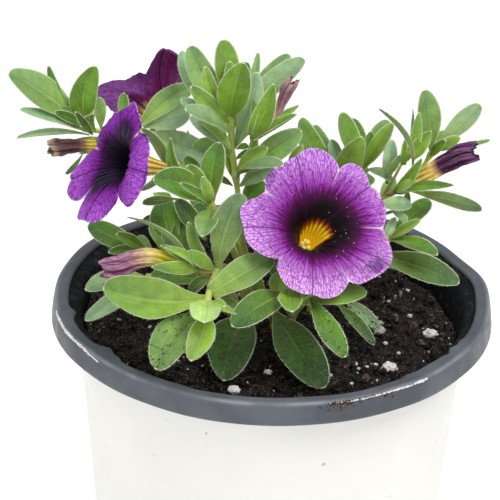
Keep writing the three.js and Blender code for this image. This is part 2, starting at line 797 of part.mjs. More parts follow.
function pot() {
  const skirtEdge = POT_HEIGHT - SKIRT_DROP;
  const skirtInside = SKIRT_RADIUS - SKIRT_WALL;
  const shoulder = NECK_HEIGHT - SHOULDER_DROP;
  const profile = [
    [0, 0],
    [FOOT_RADIUS, 0],
    [NECK_RADIUS, NECK_HEIGHT],
    [skirtInside - SKIRT_DRAFT, NECK_HEIGHT],
    [skirtInside, skirtEdge],
    [SKIRT_RADIUS, skirtEdge],
    [LIP_OUTER_RADIUS + LIP_DRAFT, POT_HEIGHT - LIP_BEVEL],
    [LIP_OUTER_RADIUS - LIP_BEVEL, POT_HEIGHT],
    [LIP_INNER_RADIUS + LIP_BEVEL, POT_HEIGHT],
    [LIP_INNER_RADIUS, POT_HEIGHT - LIP_BEVEL],
    [wallInside(shoulder) + SHOULDER_FLARE, NECK_HEIGHT],
    [wallInside(shoulder), shoulder],
    [wallInside(POT_FLOOR), POT_FLOOR],
    [0, POT_FLOOR],
  ].map(([radius, z]) => new THREE.Vector2(radius, z));
  const shell = new THREE.LatheGeometry(profile, POT_SIDES).rotateX(Math.PI / 2);
  const holes = [];
  for (let index = 0; index < DRAIN_HOLES; index += 1) {
    const angle = ((index + 0.5) / DRAIN_HOLES) * Math.PI * 2;
    const hole = new THREE.CylinderGeometry(DRAIN_RADIUS, DRAIN_RADIUS, POT_FLOOR * 3, DRAIN_SIDES);
    hole.rotateX(Math.PI / 2).translate(DRAIN_RING * Math.cos(angle), DRAIN_RING * Math.sin(angle), 0);
    holes.push(solidOf(hole));
  }
  const solid = solidOf(shell).subtract(wasm.Manifold.union(holes));
  return meshOf('pot', solid, POT_PLASTIC);
}

// The height of the mix: level, fall and rise, and its lumps.
function mixHeight(x, y) {
  const [waveX, waveY] = LUMP_WAVES;
  const lumps = LUMP_HEIGHT * Math.sin(waveX * x + LUMP_PHASE) * Math.cos(waveY * y);
  return MIX_LEVEL - MIX_FALL * x + MIX_RISE * y + lumps;
}

function mixBody() {
  const turn = (side) => (side / POT_SIDES) * Math.PI * 2;
  const bottom = POT_FLOOR + CLEARANCE;
  const round = (radius, height) => Array.from({ length: POT_SIDES }, (_, side) => {
    const x = Math.cos(turn(side)) * radius;
    const y = Math.sin(turn(side)) * radius;
    return new THREE.Vector3(x, y, height(x, y));
  });
  const edge = wallInside(MIX_LEVEL) - CLEARANCE - MIX_EDGE_TAPER;
  const rings = [
    round(MIX_CENTRE, () => bottom),
    round(wallInside(bottom) - CLEARANCE, () => bottom),
  ];
  for (const share of MIX_RINGS) rings.push(round(edge * share, mixHeight));
  rings.push(round(MIX_CENTRE, mixHeight));
  return solidOf(ringGeometry(rings));
}

function pottingMix() {
  const grains = PERLITE.map(([[x, y], diameter]) => {
    const grain = new THREE.IcosahedronGeometry(diameter / 2, 0);
    return solidOf(grain.scale(1, 0.8, 0.8).translate(x, y, mixHeight(x, y)));
  });
  const holes = Object.values(STEMS).map(({ root: [x, y], radius }) => {
    const wide = radius + STEM_HOLE_GAP;
    const deep = STEM_FOOT - CLEARANCE;
    const hole = new THREE.CylinderGeometry(wide, wide, STEM_HOLE_TOP - deep, STEM_HOLE_SIDES);
    return solidOf(hole.rotateX(Math.PI / 2).translate(x, y, (STEM_HOLE_TOP + deep) / 2));
  });
  const heap = wasm.Manifold.union([mixBody(), ...grains]);
  return meshOf('potting_mix', heap.subtract(wasm.Manifold.union(holes)), POTTING_MIX);
}

// ---------------------------------------------------------------- the object

const CALIBRACHOA = new THREE.Group();
CALIBRACHOA.add(pot(), pottingMix());
for (const [name, plan] of Object.entries(STEMS)) {
  CALIBRACHOA.add(leafyStem(name, plan));
  for (const stalk of plan.stalks ?? []) {
    if (stalk.corolla?.form === 'open') CALIBRACHOA.add(openCorolla(stalk));
    if (stalk.corolla?.form === 'folded') CALIBRACHOA.add(foldedCorolla(stalk));
  }
}

export default CALIBRACHOA;
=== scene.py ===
import math

import bpy
import numpy as np
from mathutils import Matrix, Vector, geometry, noise


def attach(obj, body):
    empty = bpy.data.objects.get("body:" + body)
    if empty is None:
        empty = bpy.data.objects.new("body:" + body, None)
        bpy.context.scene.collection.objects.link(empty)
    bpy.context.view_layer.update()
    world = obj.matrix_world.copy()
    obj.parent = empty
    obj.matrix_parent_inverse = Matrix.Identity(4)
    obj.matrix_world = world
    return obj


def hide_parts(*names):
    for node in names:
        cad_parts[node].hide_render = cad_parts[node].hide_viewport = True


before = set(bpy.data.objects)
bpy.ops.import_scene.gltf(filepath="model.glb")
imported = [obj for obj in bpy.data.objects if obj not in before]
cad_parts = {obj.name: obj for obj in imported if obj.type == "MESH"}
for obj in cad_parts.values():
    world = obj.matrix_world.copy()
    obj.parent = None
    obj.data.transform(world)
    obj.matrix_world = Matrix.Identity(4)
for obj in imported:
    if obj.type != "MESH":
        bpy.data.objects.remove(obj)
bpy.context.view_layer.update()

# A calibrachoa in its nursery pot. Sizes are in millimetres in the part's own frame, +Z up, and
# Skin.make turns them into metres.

METRES = 0.001
TURN = 2 * math.pi
UP = np.array([0.0, 0.0, 1.0])
draws = np.random.default_rng(20)

# ------------------------------------------------------------------ the pot and the mix

FOOT_RADIUS = 39.4
NECK_RADIUS = 48
NECK_HEIGHT = 118.2
SKIRT_RADIUS = 54
SKIRT_EDGE = 115.6
SKIRT_INSIDE = 52.4
POT_WALL = 1.5
POT_FLOOR = 2.2
DRAIN_HOLES = 4
DRAIN_RADIUS = 4
DRAIN_RING = 27
CREASE_RADIUS = 53.12  # the lip's outer crease, which carries the scrapes
CREASE_HEIGHT = 120.6
SKIRT_SLOPE = 0.16
CLEARANCE = 0.3
MIX_LEVEL = 113

# ------------------------------------------------------------------ the plant's plan

CALYX_SEAT = 1.8
SEPAL_STANDOFF = 3.6
LEAF_THICKNESS = 0.42
SEPAL_THICKNESS = 0.36
BURIED_LEVELS = (105, 110, 115)
LIP_TOP = 119  # no leaf at the back reaches below it
GOLDEN_ANGLE = math.radians(137.5)


def linear(red, green, blue):
    """The linear colour of display values from 0 to 255."""
    shares = (np.array([red, green, blue]) / 255 + 0.055) / 1.055
    return shares ** 2.4


# The greens of the leaves: young shoots, sunlit blades, old blades and downy pale ones. The palest
# tone is lighter than any blade's own colour: painted light on blades that lie in shade.
TONES = {name: linear(*rgb) for name, rgb in dict(
    young=(144, 184, 60), lime=(186, 222, 120), bright=(104, 152, 8), fresh=(114, 158, 48),
    mid=(80, 132, 26), deep=(60, 112, 16), pale=(118, 160, 82), grey=(146, 182, 138),
    dark=(54, 96, 36), dull=(104, 136, 88), silver=(166, 200, 158), bract=(90, 116, 70),
    moss=(72, 112, 50), olive=(118, 156, 76), leek=(90, 140, 2), sage=(128, 160, 114),
    # the last, palest tone is painted light: paler than the blades' own colour, for blades that lie
    # in shade
    frost=(196, 230, 188)).items()}

# The outlines of blades: where they are widest, how wide the foot is, and how sharp the tip.
LEAF = dict(widest=0.6, foot=0.16, point=1.05)
WIDE = dict(widest=0.5, foot=0.55, point=1.05)
BLUNT = dict(widest=0.72, foot=0.3, point=0.55)
SEPAL = dict(widest=0.4, foot=0.5, point=1.5)

# Each leafy stem, as in the part: its root, radius and path, its leaves as (share, tip, width,
# lean, tone, bow) and its stalks with their corollas and sepals (tip, width, tone, bow). A leaf's
# share may be the point where it starts, and bow is its sideways bend. The last value may hold
# more: a form, dirt where a leaf lies on the mix, and where a sepal starts or how it leans.
STEMS = {
    "stem_centre": dict(root=(-2.5, 3), radius=0.9,
        path=[(-7.5, 1, 134.5), (-9, 1, 148), (-10.5, 2, 158), (-11, 3, 168)],
        leaves=[
            (0.97, (-8.3, -4, 182.8), 7.7, 20, "bright", -0.7),
            (0.99, (-13.1, 10, 183), 6, 60, "bright"),
            (0.98, (-21.2, 10, 181.1), 6.3, 50, "pale", -1.4),
            (0.96, (-23.4, 17, 177.2), 4.2, 50, "grey", -2.6),
            (0.97, (-17.2, 0, 179.9), 3.7, 30, "young", -1.4),
            (0.95, (-20.4, -4, 176.4), 4.6, 40, "fresh", -1.2),
            (0.91, (-21.5, -9, 172.7), 6.8, 60, "sage", -2),
            ((-10.8, 2, 158.3), (-20.7, -2, 167.9), 4.4, 55, "frost", -1),
            ((-10.7, 1, 157.9), (-18.4, -2, 167.5), 3, 50, "lime", 0.3),
            ((-16.6, 4, 164.8), (-23, 4, 170), 3.2, 50, "grey"),
            (0.99, (-4.8, 8, 180.7), 2.2, 50, "pale", 1.6), (0.98, (-7.5, 10, 177.5), 4, 50, "mid"),
            ((-10.1, 3, 158.1), (-5, 3, 177.7), 5.6, 35, "silver", 1.3),
            (0.93, (6.2, 13, 177.5), 6, 55, "sage"), (0.96, (2.7, 20, 175.8), 4.7, 60, "pale", 1),
            (1, (-11.5, 5, 179.5), 3.5, 40, "fresh"),
            ((-9.9, 3, 149.5), (-12.4, 3, 155.5), 1.6, 50, "bright"),
            ((-10.2, 5, 147.2), (-14.1, 6, 149.1), 1.8, 50, "dark"),
            (0.82, (-20, 3, 158.5), 4.7, 50, "pale", 0.3),
            (0.75, (6, 3, 163), 6.5, 45, "pale", 0.8),
            (0.74, (1.5, -15, 161.7), 5.4, 65, "sage", 1), (0.76, (-2, -3, 161), 4, 40, "young"),
            ((-9.6, 7, 156.1), (-6.6, 8, 156.6), 1.9, 50, "mid"),
            ((-9.8, 5, 154.1), (-6.2, 5, 156.8), 1.6, 50, "mid"),
            ((-8.1, 6, 141.5), (-2.9, 8, 147.7), 5, 30, "mid"),
            ((-8.8, 5, 139.8), (-3, 10, 142.4), 4.4, 30, "dark"),
            ((-9.5, 3, 150.3), (-12.5, 4, 157.9), 3, 40, "young"),
            ((-8.4, 3, 148.2), (-0.2, 3, 153.7), 4.5, 40, "silver"),
            ((-6.6, 0, 153.8), (-4.6, -1, 162.3), 2.2, 40, "young"),
            ((-4.8, 7, 158.4), (4.8, 8, 165.2), 1.3, 40, "mid"),
            ((2.8, 5, 151.8), (6.4, 5, 158.5), 2.4, 40, "young"),
        ],
        stalks=[
        dict(at=0.73, thick=0.42, flush=4, path=[(-7, 0, 157), (-5.5, -2, 163.5)],
             corolla=dict(name="corolla_wilted_centre", tip=(3, 0, 177.5)), sepals=[
            ((-1.1, -5, 178), 5.2, "bright", 0.6, dict(lean=10)),
            ((5.2, 4, 169.1), 2.3, "fresh", 0, dict(lean=40)),
            ((4.4, -8, 171.8), 2.3, "bright", 0, dict(lean=50)),
            ((-5.1, 6, 176.2), 2.2, "deep", 0.5, dict(lean=20)), ((-3.9, -6, 173.5), 1.4, "grey")]),
        ],
    ),
    "stem_left": dict(root=(-4, 8), radius=0.75,
        path=[(-9, 9, 130), (-16, 10, 140.5), (-22.5, 10.5, 150.5), (-33, 8, 159.6),
              (-42.5, 7, 160), (-46.5, 6, 161.5)],
        leaves=[
            (0.83, (-20.5, 17, 168), 6.5, 60, "pale"),
            (0.82, (-17, 15, 150), 7.5, 40, "frost", 0.4),
            ((-32.2, 10, 160.1), (-21, 12, 163.4), 6.5, 30, "frost"),
            (1, (-63.3, 2, 176.5), 8.2, 55, "pale", -0.7),
            (1, (-54.4, 6, 176.9), 2.5, 40, "mid", -1.5),
            ((-43.3, 6.9, 159.6), (-43.2, 4, 178), 6.6, 30, "leek", -3),
            (0.94, (-42.6, 10, 167.6), 3, 30, "pale"),
            ((-45.7, 6.2, 160.1), (-60.4, -2, 168.8), 3.5, 60, "grey", -1.4),
            ((-44.9, 6.4, 159.2), (-62, 3, 159.4), 2.2, 60, "silver"),
            (0.87, (-37, 12, 168), 2.8, 30, "leek"),
            ((-46.3, 6.5, 154.6), (-51, 8, 148), 1.3, 30, "dark", -0.5),
            (1, (-52.5, 0, 167.5), 2.6, 40, "deep"), (0.98, (-43, -3, 168.6), 2.4, 50, "grey"),
            (0.91, (-35.5, 15, 162), 3, 40, "mid"), (0.79, (-27, 16, 160), 3.2, 50, "mid"),
            ((-44.1, 6.8, 159.1), (-47.6, 0, 167.8), 1.9, 30, "dark"),
            (1, (-51.5, 3, 168), 2.4, 40, "fresh"),
        ],
        stalks=[
        dict(at=0.93, path=[(-39.4, 5, 158.9), (-39.9, 3.8, 158.4)],
             corolla=dict(name="corolla_wilted_left", tip=(-54, 0, 158)), sepals=[
            ((-48.2, 6, 158.1), 1.4, "mid"), ((-47.7, 7, 154), 1.4, "mid"),
            ((-47.1, 7, 156.9), 1.4, "fresh"), ((-46.3, 7, 154.2), 1.4, "deep")]),
        dict(at=0.79, path=[(-22.5, 13.5, 151), (-23, 17, 149.5)],
             corolla=dict(name="corolla_back", axis=(-0.465, 0.6, 0.652)), sepals=[
            ((-30, 18, 152), 2.2, "mid"), ((-27, 25, 153), 2.2, "mid"),
            ((-22, 24, 153.5), 2.2, "mid"), ((-25, 17, 155), 2.2, "mid"),
            ((-29, 16, 156), 2.2, "mid")]),
        ],
    ),
    "stem_mid_left": dict(root=(-4.5, -1), radius=0.9,
        path=[(-8.5, -5, 131.5), (-12.5, -9, 142.5), (-14.5, -12, 148.5), (-16, -14, 153)],
        leaves=[
            (0.93, (-13.4, -9, 164.8), 5.8, 30, "mid", -0.9),
            (0.94, (-28.3, -20, 159.9), 7.6, 50, "mid", 1.1),
            (1, (-20.7, -13, 160.5), 4.6, 30, "fresh"), (0.96, (-17, -19, 160.5), 2.6, 30, "young"),
            (0.92, (-16.7, -25, 148), 5.3, 60, "pale"), (0.92, (-19, -6, 156), 3.5, 40, "mid"),
            ((-17, -2, 151.6), (-21.7, 0, 156.8), 3.4, 40, "mid"),
            ((-23.2, -2, 146.7), (-31.8, -2, 145.4), 2.4, 40, "dark"),
            ((-16.4, -1, 135.4), (-23.8, 2, 144.8), 4.6, 40, "dark"),
            (0.95, (-22, -21, 159.5), 2, 40, "mid"),
        ],
        stalks=[
        dict(at=0.98, path=[(-18, -11, 155), (-21, -10, 157.5)],
             corolla=dict(name="corolla_left", axis=(-0.785, -0.52, 0.335)), sepals=[
            ((-31.3, -12, 169.1), 4.2, "deep", 0.3, dict(base=(-25.9, -11, 160))),
            ((-24.5, -12, 166.8), 2.6, "mid", -1.6, dict(lean=30, base=(-21.4, -12, 157))),
            ((-31.8, -10, 152.2), 1.7, "dark", 0, dict(base=(-26.7, -9, 155.8))),
            ((-27.8, -14, 159.2), 1.8, "mid", 0, dict(lean=50, base=(-21.6, -12, 157.5))),
            ((-25, -3, 152), 2.2, "mid")]),
        ],
    ),
    "stem_front_left": dict(root=(-5.5, -5), radius=0.9,
        path=[(-8.5, -12, 130.5), (-12, -18, 137), (-14, -24, 137), (-15, -30, 135),
              (-15.5, -33, 133)],
        leaves=[
            (0.94, (-38.9, -33, 138.2), 11.2, 60, "fresh", -3.6),
            (0.91, (-0.2, -22, 141.5), 7.4, 50, "pale", 0.4, dict(form=WIDE)),
            (0.76, (-7.9, -15, 154.6), 7.4, 40, "dull", -0.8),
            (0.77, (-20.5, -25, 144), 3.4, 40, "fresh"),
            (0.96, (-15.5, -44, 136), 7, 60, "lime", 0, dict(form=BLUNT)),
            (1, (-18.3, -46, 127.2), 6, 60, "young", -1.1),
            (1, (-26.4, -44, 123.7), 8.8, 55, "olive", 1, dict(dirt=1)),
            (0.98, (-11, -40, 138), 2.6, 60, "young"),
            (0.76, (-20.1, -20, 149.3), 2.8, 40, "fresh", -1.4),
            ((-14, -34, 135.7), (-8.5, -38, 135.1), 2, 55, "young", 0.2, dict(form=SEPAL)),
            ((-13.7, -26, 132.5), (-7.4, -28, 130.1), 3.6, 55, "mid"),
            ((-14.4, -22, 136.4), (-19.7, -22, 132.1), 3.4, 55, "dark"),
            ((-15.4, -16, 131.5), (-29.2, -14, 132), 5, 55, "mid"),
        ],
        stalks=[
        dict(at=0.76, path=[(-16, -23, 138), (-18.5, -24, 139)],
             corolla=dict(name="corolla_bud_front", tip=(-39.5, -27, 140.5)), sepals=[
            ((-34.4, -17, 148.7), 2.8, "fresh", -0.4), ((-28, -31, 143), 3.2, "fresh"),
            ((-25, -29, 147), 2.8, "young"), ((-28.7, -24, 139.7), 3.4, "bright", -0.4),
            ((-26.3, -25, 145.6), 2.6, "bright", 0, dict(lean=50))]),
        ],
    ),
    "stem_low_left": dict(root=(-9, -3), radius=0.8,
        path=[(-19.5, -8, 123.5), (-26, -10, 128.5), (-30.5, -10, 130)],
        leaves=[
            (0.97, (-44.6, -15, 128.4), 5.6, 60, "sage", 0.4),
            (0.97, (-44, -22, 123.8), 5, 60, "grey", -0.9),
            (0.83, (-30.1, -4, 123.8), 3, 60, "dark"),
        ],
    ),
    "stem_inner_left": dict(root=(-8, 3), radius=0.8,
        path=[(-14, 0, 122), (-20.5, -2, 130), (-24.5, -3, 134.5)],
        leaves=[
            (0.96, (-26.9, 4, 143.8), 7.4, 45, "mid", -1.1),
            (0.88, (-22.8, 0, 140.1), 5.2, 45, "mid", -0.3), (0.91, (-17, 8, 141), 6, 45, "mid"),
            (0.98, (-26.9, -6, 139.9), 3.2, 45, "grey", -0.4),
            (0.94, (-29.3, 10, 139.3), 3.6, 45, "dark", -0.3),
        ],
    ),
    "stem_back_left": dict(root=(-9, 8), radius=0.8,
        path=[(-18, 8, 122), (-26, 9, 125.5), (-32.5, 8, 128)],
        leaves=[
            (1, (-45.9, 8, 134.4), 6.2, 50, "deep", -1.2),
            (0.97, (-38.5, 3, 134.6), 3.4, 50, "fresh", -0.5),
            (0.94, (-40.4, 2, 129.9), 3.2, 60, "mid"), (0.91, (-34.8, 18, 126.3), 3, 50, "fresh"),
            (0.84, (-30.1, 22, 128.2), 4, 50, "fresh"),
        ],
    ),
    "stem_low_right": dict(root=(0.5, -5.5), radius=0.9,
        path=[(-1, -13, 124), (0.5, -20, 129), (3.5, -26, 132), (6, -28, 132.5)],
        leaves=[
            ((3.2, -28, 136.6), (4.2, -37, 135.4), 5.6, 60, "bright"),
            ((8.5, -28, 134.4), (16.5, -40, 125.7), 5.4, 55, "mid", 0.4, dict(dirt=1)),
            (1, (21.7, -24, 134.2), 5.2, 60, "fresh", 0.5),
            ((3.4, -23.7, 133.3), (-9.4, -38, 131.9), 7.4, 55, "deep"),
            (0.76, (2, -18, 136), 5, 60, "young"),
            ((0.6, -10.6, 121.2), (12.3, -34, 114), 10, 50, "dark", 0.8, dict(dirt=1)),
            ((-5, -9.2, 119.1), (-11.2, -33, 114.7), 11.4, 50, "dark", 1.4, dict(dirt=1)),
            ((16.8, -3.5, 121.5), (26.1, -12, 117.5), 3.5, 60, "sage", 0, dict(dirt=1)),
            ((15.6, -5.3, 121), (24.6, -16.4, 116), 3.2, 60, "moss", 0, dict(dirt=1)),
            (0.53, (-8, -8, 133), 4, 50, "mid"),
        ],
    ),
    "stem_front_bloom": dict(root=(1, -0.5), radius=0.8,
        path=[(2, -3, 121), (4, -6, 128)],
        leaves=[
            (0.81, (-3, -4, 138.5), 4.5, 50, "mid"),
        ],
        stalks=[
        dict(at=0.98, path=[(5, -7, 131.5), (5.9, -7.4, 133.2)],
             corolla=dict(name="corolla_front", axis=(0.15, -0.62, 0.77)), sepals=[
            ((16, -8, 139), 2.4, "fresh"), ((10, 1, 142), 2.4, "mid"), ((2, -2, 144), 2.4, "mid"),
            ((-2, -11, 140), 2.4, "fresh"), ((9, -14, 131), 2.4, "fresh")]),
        ],
    ),
    "stem_right_back": dict(root=(3, 9), radius=0.9,
        path=[(12, 14, 129), (18.5, 14, 142), (22, 12, 149.5)],
        leaves=[
            (1, (15.7, 14, 163.5), 4.9, 40, "fresh", -0.6), (1, (18.5, 20, 159.5), 4.6, 40, "mid"),
            (0.86, (20.3, 4, 161.5), 6.6, 30, "young", -1.9),
            (1, (27.5, 17, 160.5), 5.4, 45, "pale"), (1, (28, 8, 163.5), 3.8, 40, "young"),
            (1, (28, 1, 151.1), 3, 60, "grey", -0.2),
            (0.85, (5.9, 16, 160.9), 6.4, 40, "fresh", -2.7),
            (0.85, (9.4, 23, 156.2), 5, 40, "pale", -1.6),
            ((16, 13, 148), (13.4, 13, 156.8), 3.4, 40, "grey"),
            (1, (23, 10, 160.5), 2.8, 40, "bright"), (0.74, (6.5, 22, 144.5), 5, 50, "mid"),
            (0.79, (24.5, 26, 141.5), 5, 50, "mid"), (1, (25.4, 16, 153), 2.4, 50, "fresh"),
        ],
    ),
    "stem_right": dict(root=(4.5, 4.5), radius=0.66,
        path=[(14, 6, 125), (22, 4, 139), (27.9, 2, 148.5), (30.6, 3, 149.2), (33.6, 4, 151.5),
              (36.3, 4, 155.7), (37.5, 3, 158.8)],
        leaves=[
            (0.99, (34.9, 6, 173.1), 5.6, 40, "pale", 0.4),
            (1, (48.8, 10, 167.9), 4.9, 50, "sage", 0.6), (1, (43.5, 0, 163.5), 3, 40, "young"),
            (1, (41, 8, 161.5), 3, 40, "fresh"),
            ((32.7, 2, 148.4), (50.2, 2, 143.8), 4.4, 60, "bract", 1.4),
            ((27, 4, 149.2), (27.6, 4, 161), 3.5, 40, "silver"),
            ((26.5, 2, 151.9), (29.7, 1, 158.2), 1.9, 40, "pale", 0.3),
            ((31.8, -1.5, 152.8), (23.3, -5, 172.5), 1.4, 35, "bract", 3.1),
            ((32.1, 3, 148.4), (31.8, 3, 144.2), 1.9, 50, "dark"),
            (0.97, (39.9, -2, 163.6), 2.4, 40, "bright"),
            (0.99, (52.1, 13, 157.5), 1.3, 50, "pale", 1),
        ],
        stalks=[
        dict(at=0.7, thick=0.34, path=[(28.4, 1, 152.2), (30.3, 0, 157.1)], sepals=[
            ((33.7, 0, 169), 3, "fresh", 0.4, dict(lean=30, base=(31.6, 0, 158.2))),
            ((36.2, 0, 165), 3.8, "bright", 0, dict(lean=40, base=(32, -1, 158.3))),
            ((33.3, 2, 163.3), 2.6, "young", 0, dict(lean=30, base=(31, 1, 156.9))),
            ((32, 2, 169.6), 0.9, "dull", 0, dict(lean=30, base=(32, 1, 160.8))),
            ((31.4, 1, 162.1), 2.2, "young", 0, dict(lean=30, base=(30.4, 0, 156)))]),
        dict(at=0.75, path=[(28, 0, 148.5), (29.5, -1, 150)],
             corolla=dict(name="corolla_closed_right", tip=(47, -7, 163.5)), sepals=[
            ((34.3, -5, 160.2), 3, "bright", 1, dict(lean=40, base=(29.1, -1, 149.9))),
            ((42, -7, 154.2), 2.8, "mid", 0, dict(lean=40, base=(29.6, -1, 150.2))),
            ((33.8, -5, 154.5), 2.6, "young", 0, dict(lean=40, base=(28.9, -1, 149.9))),
            ((39.1, -4, 153.9), 2.4, "fresh", 0, dict(lean=50, base=(30, 1, 149.6)))]),
        ],
    ),
    "stem_right_low": dict(root=(5.5, -0.5), radius=0.9,
        path=[(14, -1, 125), (22, -3, 133), (27.5, -5, 139)],
        leaves=[
            ((23.6, -5, 147.4), (32.7, -3, 147), 3.9, 50, "grey"),
            ((27.7, -4, 145.8), (31.8, -4, 143.2), 2.2, 50, "grey"),
            (1, (37.9, 7, 143.8), 4.8, 50, "mid", 0.2), (1, (34.6, -9, 145.9), 2.6, 50, "young"),
            (1, (38.5, -15, 139.8), 4.2, 60, "mid", 0.2),
            (0.85, (44, -15, 132.4), 7.2, 55, "moss", 0.6),
            (0.93, (29.1, -2, 143.2), 2.4, 50, "frost", 0.3), (0.88, (19.5, 6, 127), 4, 50, "deep"),
        ],
    ),
    "stem_back_1": dict(root=(-4, 13), radius=0.9, light=(-0.4, 1),
        whorl=dict(count=6, first=0.5, length=16, width=6, seed=11),
        path=[(-5, 15, 119), (-11, 21, 124), (-19, 27, 126), (-26, 31, 128)],
    ),
    "stem_back_2": dict(root=(1, 15), radius=0.9, light=(0, 1),
        whorl=dict(count=6, first=0.5, length=15, width=6, seed=23),
        path=[(2, 24, 124), (1, 31, 130), (0, 37, 133)],
    ),
    "stem_back_3": dict(root=(8, 12), radius=0.9, light=(0.6, 0.8),
        whorl=dict(count=7, first=0.5, length=15, width=5.5, seed=37),
        path=[(15, 19, 121), (23, 25, 127), (28, 29, 130)],
    ),
    "stem_back_4": dict(root=(10, 6), radius=0.9, light=(1, 0.5),
        whorl=dict(count=5, first=0.6, length=6, width=3.6, seed=41),
        path=[(21, 10, 123.5), (30, 16, 121.5), (35, 20, 120)],
    ),
}

# The limbs of the open corollas, lobe by lobe from sinus to sinus: the angle of the middle vein,
# and the outline as (angle, reach).
LIMBS = {
    "corolla_front": [
        (41, [(4, 16.4), (12, 17.4), (20, 18.1), (36, 18.1), (41, 17.4), (49, 18.9), (57, 20),
              (63, 19.8), (67, 18.4), (69, 16.6)]),
        (104, [(69, 16.6), (72, 18.3), (78, 19.5), (85, 20.2), (92, 20.2), (98, 19.4), (104, 18.1),
               (117, 17), (127, 16.9), (134, 16.4), (145, 14)]),
        (187, [(145, 14), (155, 14.9), (163, 16.6), (171, 17.6), (179, 17.3), (187, 16.5),
               (196, 16.7), (206, 15.9), (214, 14.5), (228, 11.9)]),
        (269, [(228, 11.9), (230, 13.3), (245, 16.3), (253, 17.3), (262, 17.6), (269, 17.3),
               (276, 18.1), (283, 18.2), (290, 17.6), (297, 16.5), (303, 15.3)]),
        (335, [(303, 15.3), (306, 16.4), (310, 17.3), (324, 18.6), (335, 19.8), (342, 19.4),
               (349, 18.4), (357, 17.3), (364, 16.4)]),
    ],
    "corolla_left": [
        (113, [(73, 10.2), (77, 12), (85, 12.7), (92, 13.4), (95, 14.4), (98, 15.9), (101, 14),
               (108, 12.5), (116, 11.5), (122, 11.2), (128, 11.1), (140, 10.4), (155, 9.9),
               (170, 10.2), (183, 10.1), (193, 9.2)]),
        (228, [(193, 9.5), (200, 10.8), (211, 12.8), (220, 15.8), (225, 17.4), (229, 17.2),
               (233, 19), (238, 19.2), (243, 18.4), (247, 16.4), (249, 14.4)]),
        (271, [(249, 14.4), (252, 17.4), (257, 18.8), (262, 18.2), (266, 17), (271, 16.2),
               (279, 15.6), (286, 14.6), (298, 11.8), (307, 9.6), (317, 7.8)]),
        (382, [(317, 7.8), (322, 9.8), (330, 11.4), (338, 12.2), (350, 12.7), (361, 12.9),
               (374, 13.6), (382, 13.4), (390, 13.4), (404, 13.6), (412, 13.1), (423, 12),
               (433, 10.2)]),
    ],
    "corolla_back": [
        (228, [(196, 11.5), (199, 13.4), (206, 15), (218, 17.4), (228, 18.2), (233, 17),
               (238, 15.8), (246, 13.8), (252, 13.6), (258, 14), (264, 13.8)]),
        (290, [(264, 13.8), (267, 12.6), (270, 12), (273, 13.6), (277, 15.2), (282, 18), (286, 19),
               (294, 17.4), (300, 16), (310, 14.5), (318, 13.2), (324, 12)]),
        (358, [(324, 12), (328, 13.2), (342, 13.2), (358, 12.8), (374, 12), (386, 11), (392, 9.8)]),
        (422, [(392, 9.8), (398, 10.8), (410, 10.8), (422, 10.4), (436, 9.8), (446, 9.6),
               (452, 8.6)]),
        (504, [(452, 8.6), (458, 9.6), (480, 10.6), (504, 11), (526, 10.4), (546, 10.8),
               (556, 11.5)]),
    ],
}

# ------------------------------------------------------------------ solids from rings


def unit(vector):
    vector = np.asarray(vector, float)
    return vector / np.linalg.norm(vector)


def unit_rows(vectors):
    return vectors / np.linalg.norm(vectors, axis=1, keepdims=True)


def smooth(low, high, value):
    share = np.clip((value - low) / (high - low), 0, 1)
    return share * share * (3 - 2 * share)


def trace(spots, shares, points):
    """Points between rows of points that lie at some shares."""
    return np.stack([np.interp(spots, shares, points[:, k]) for k in range(3)], -1)


def soften(values, width):
    """A running mean."""
    return np.convolve(values, np.ones(width) / width, mode="valid")


def level_ring(radius, turn, height):
    """Points at a distance, angle and height about the pot's axis."""
    height = np.broadcast_to(height, np.broadcast_shapes(np.shape(radius), np.shape(turn)))
    return np.stack([radius * np.cos(turn), radius * np.sin(turn), height], -1)


def around(sides):
    return np.linspace(0, TURN, sides, endpoint=False)


class Skin:
    """Closed solids gathered into one mesh, with values at each point."""

    def __init__(self, **widths):
        self.widths = widths
        self.values = {name: [] for name in widths}
        self.points, self.faces, self.marks = [], [], []
        self.size = 0

    def add(self, points, faces, **values):
        points = np.asarray(points, float).reshape(-1, 3)
        self.points.append(points)
        self.faces.extend([self.size + corner for corner in face] for face in faces)
        for name, width in self.widths.items():
            value = np.asarray(values.get(name, np.zeros(width)), float)
            value = value if value.ndim == 1 else value.reshape(-1, width)
            self.values[name].append(np.broadcast_to(value, (len(points), width)))
        self.size += len(points)

    def loft(self, rings, **values):
        """A skin through rings of points, which turn anticlockwise about the way they travel."""
        index = np.arange(rings.shape[0] * rings.shape[1]).reshape(rings.shape[:2])
        near, far = index[:-1], index[1:]
        quads = np.stack([near, np.roll(near, -1, 1), np.roll(far, -1, 1), far], -1)
        faces = quads.reshape(-1, 4).tolist() + [index[0][::-1].tolist(), index[-1].tolist()]
        self.add(rings, faces, **{
            name: np.broadcast_to(value, (*rings.shape[:2], self.widths[name]))
            for name, value in values.items()})

    def make(self, name, *materials, flat=False):
        mesh = bpy.data.meshes.new(name)
        points = np.concatenate(self.points) * METRES
        mesh.from_pydata(points.tolist(), [], self.faces)
        mesh.polygons.foreach_set("use_smooth", [not flat] * len(mesh.polygons))
        if self.marks:
            mesh.polygons.foreach_set("material_index", self.marks)
        kinds = {1: ("FLOAT", "value"), 3: ("FLOAT_VECTOR", "vector")}
        for key, width in self.widths.items():
            kind, field = kinds[width]
            layer = mesh.attributes.new(key, kind, "POINT")
            layer.data.foreach_set(field, np.concatenate(self.values[key]).ravel())
        for material in materials:
            mesh.materials.append(material)
        piece = bpy.data.objects.new(name, mesh)
        bpy.context.scene.collection.objects.link(piece)
        return piece


def settle(piece, slot, *nodes):
    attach(piece, "root")
    if nodes:
        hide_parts(*nodes)


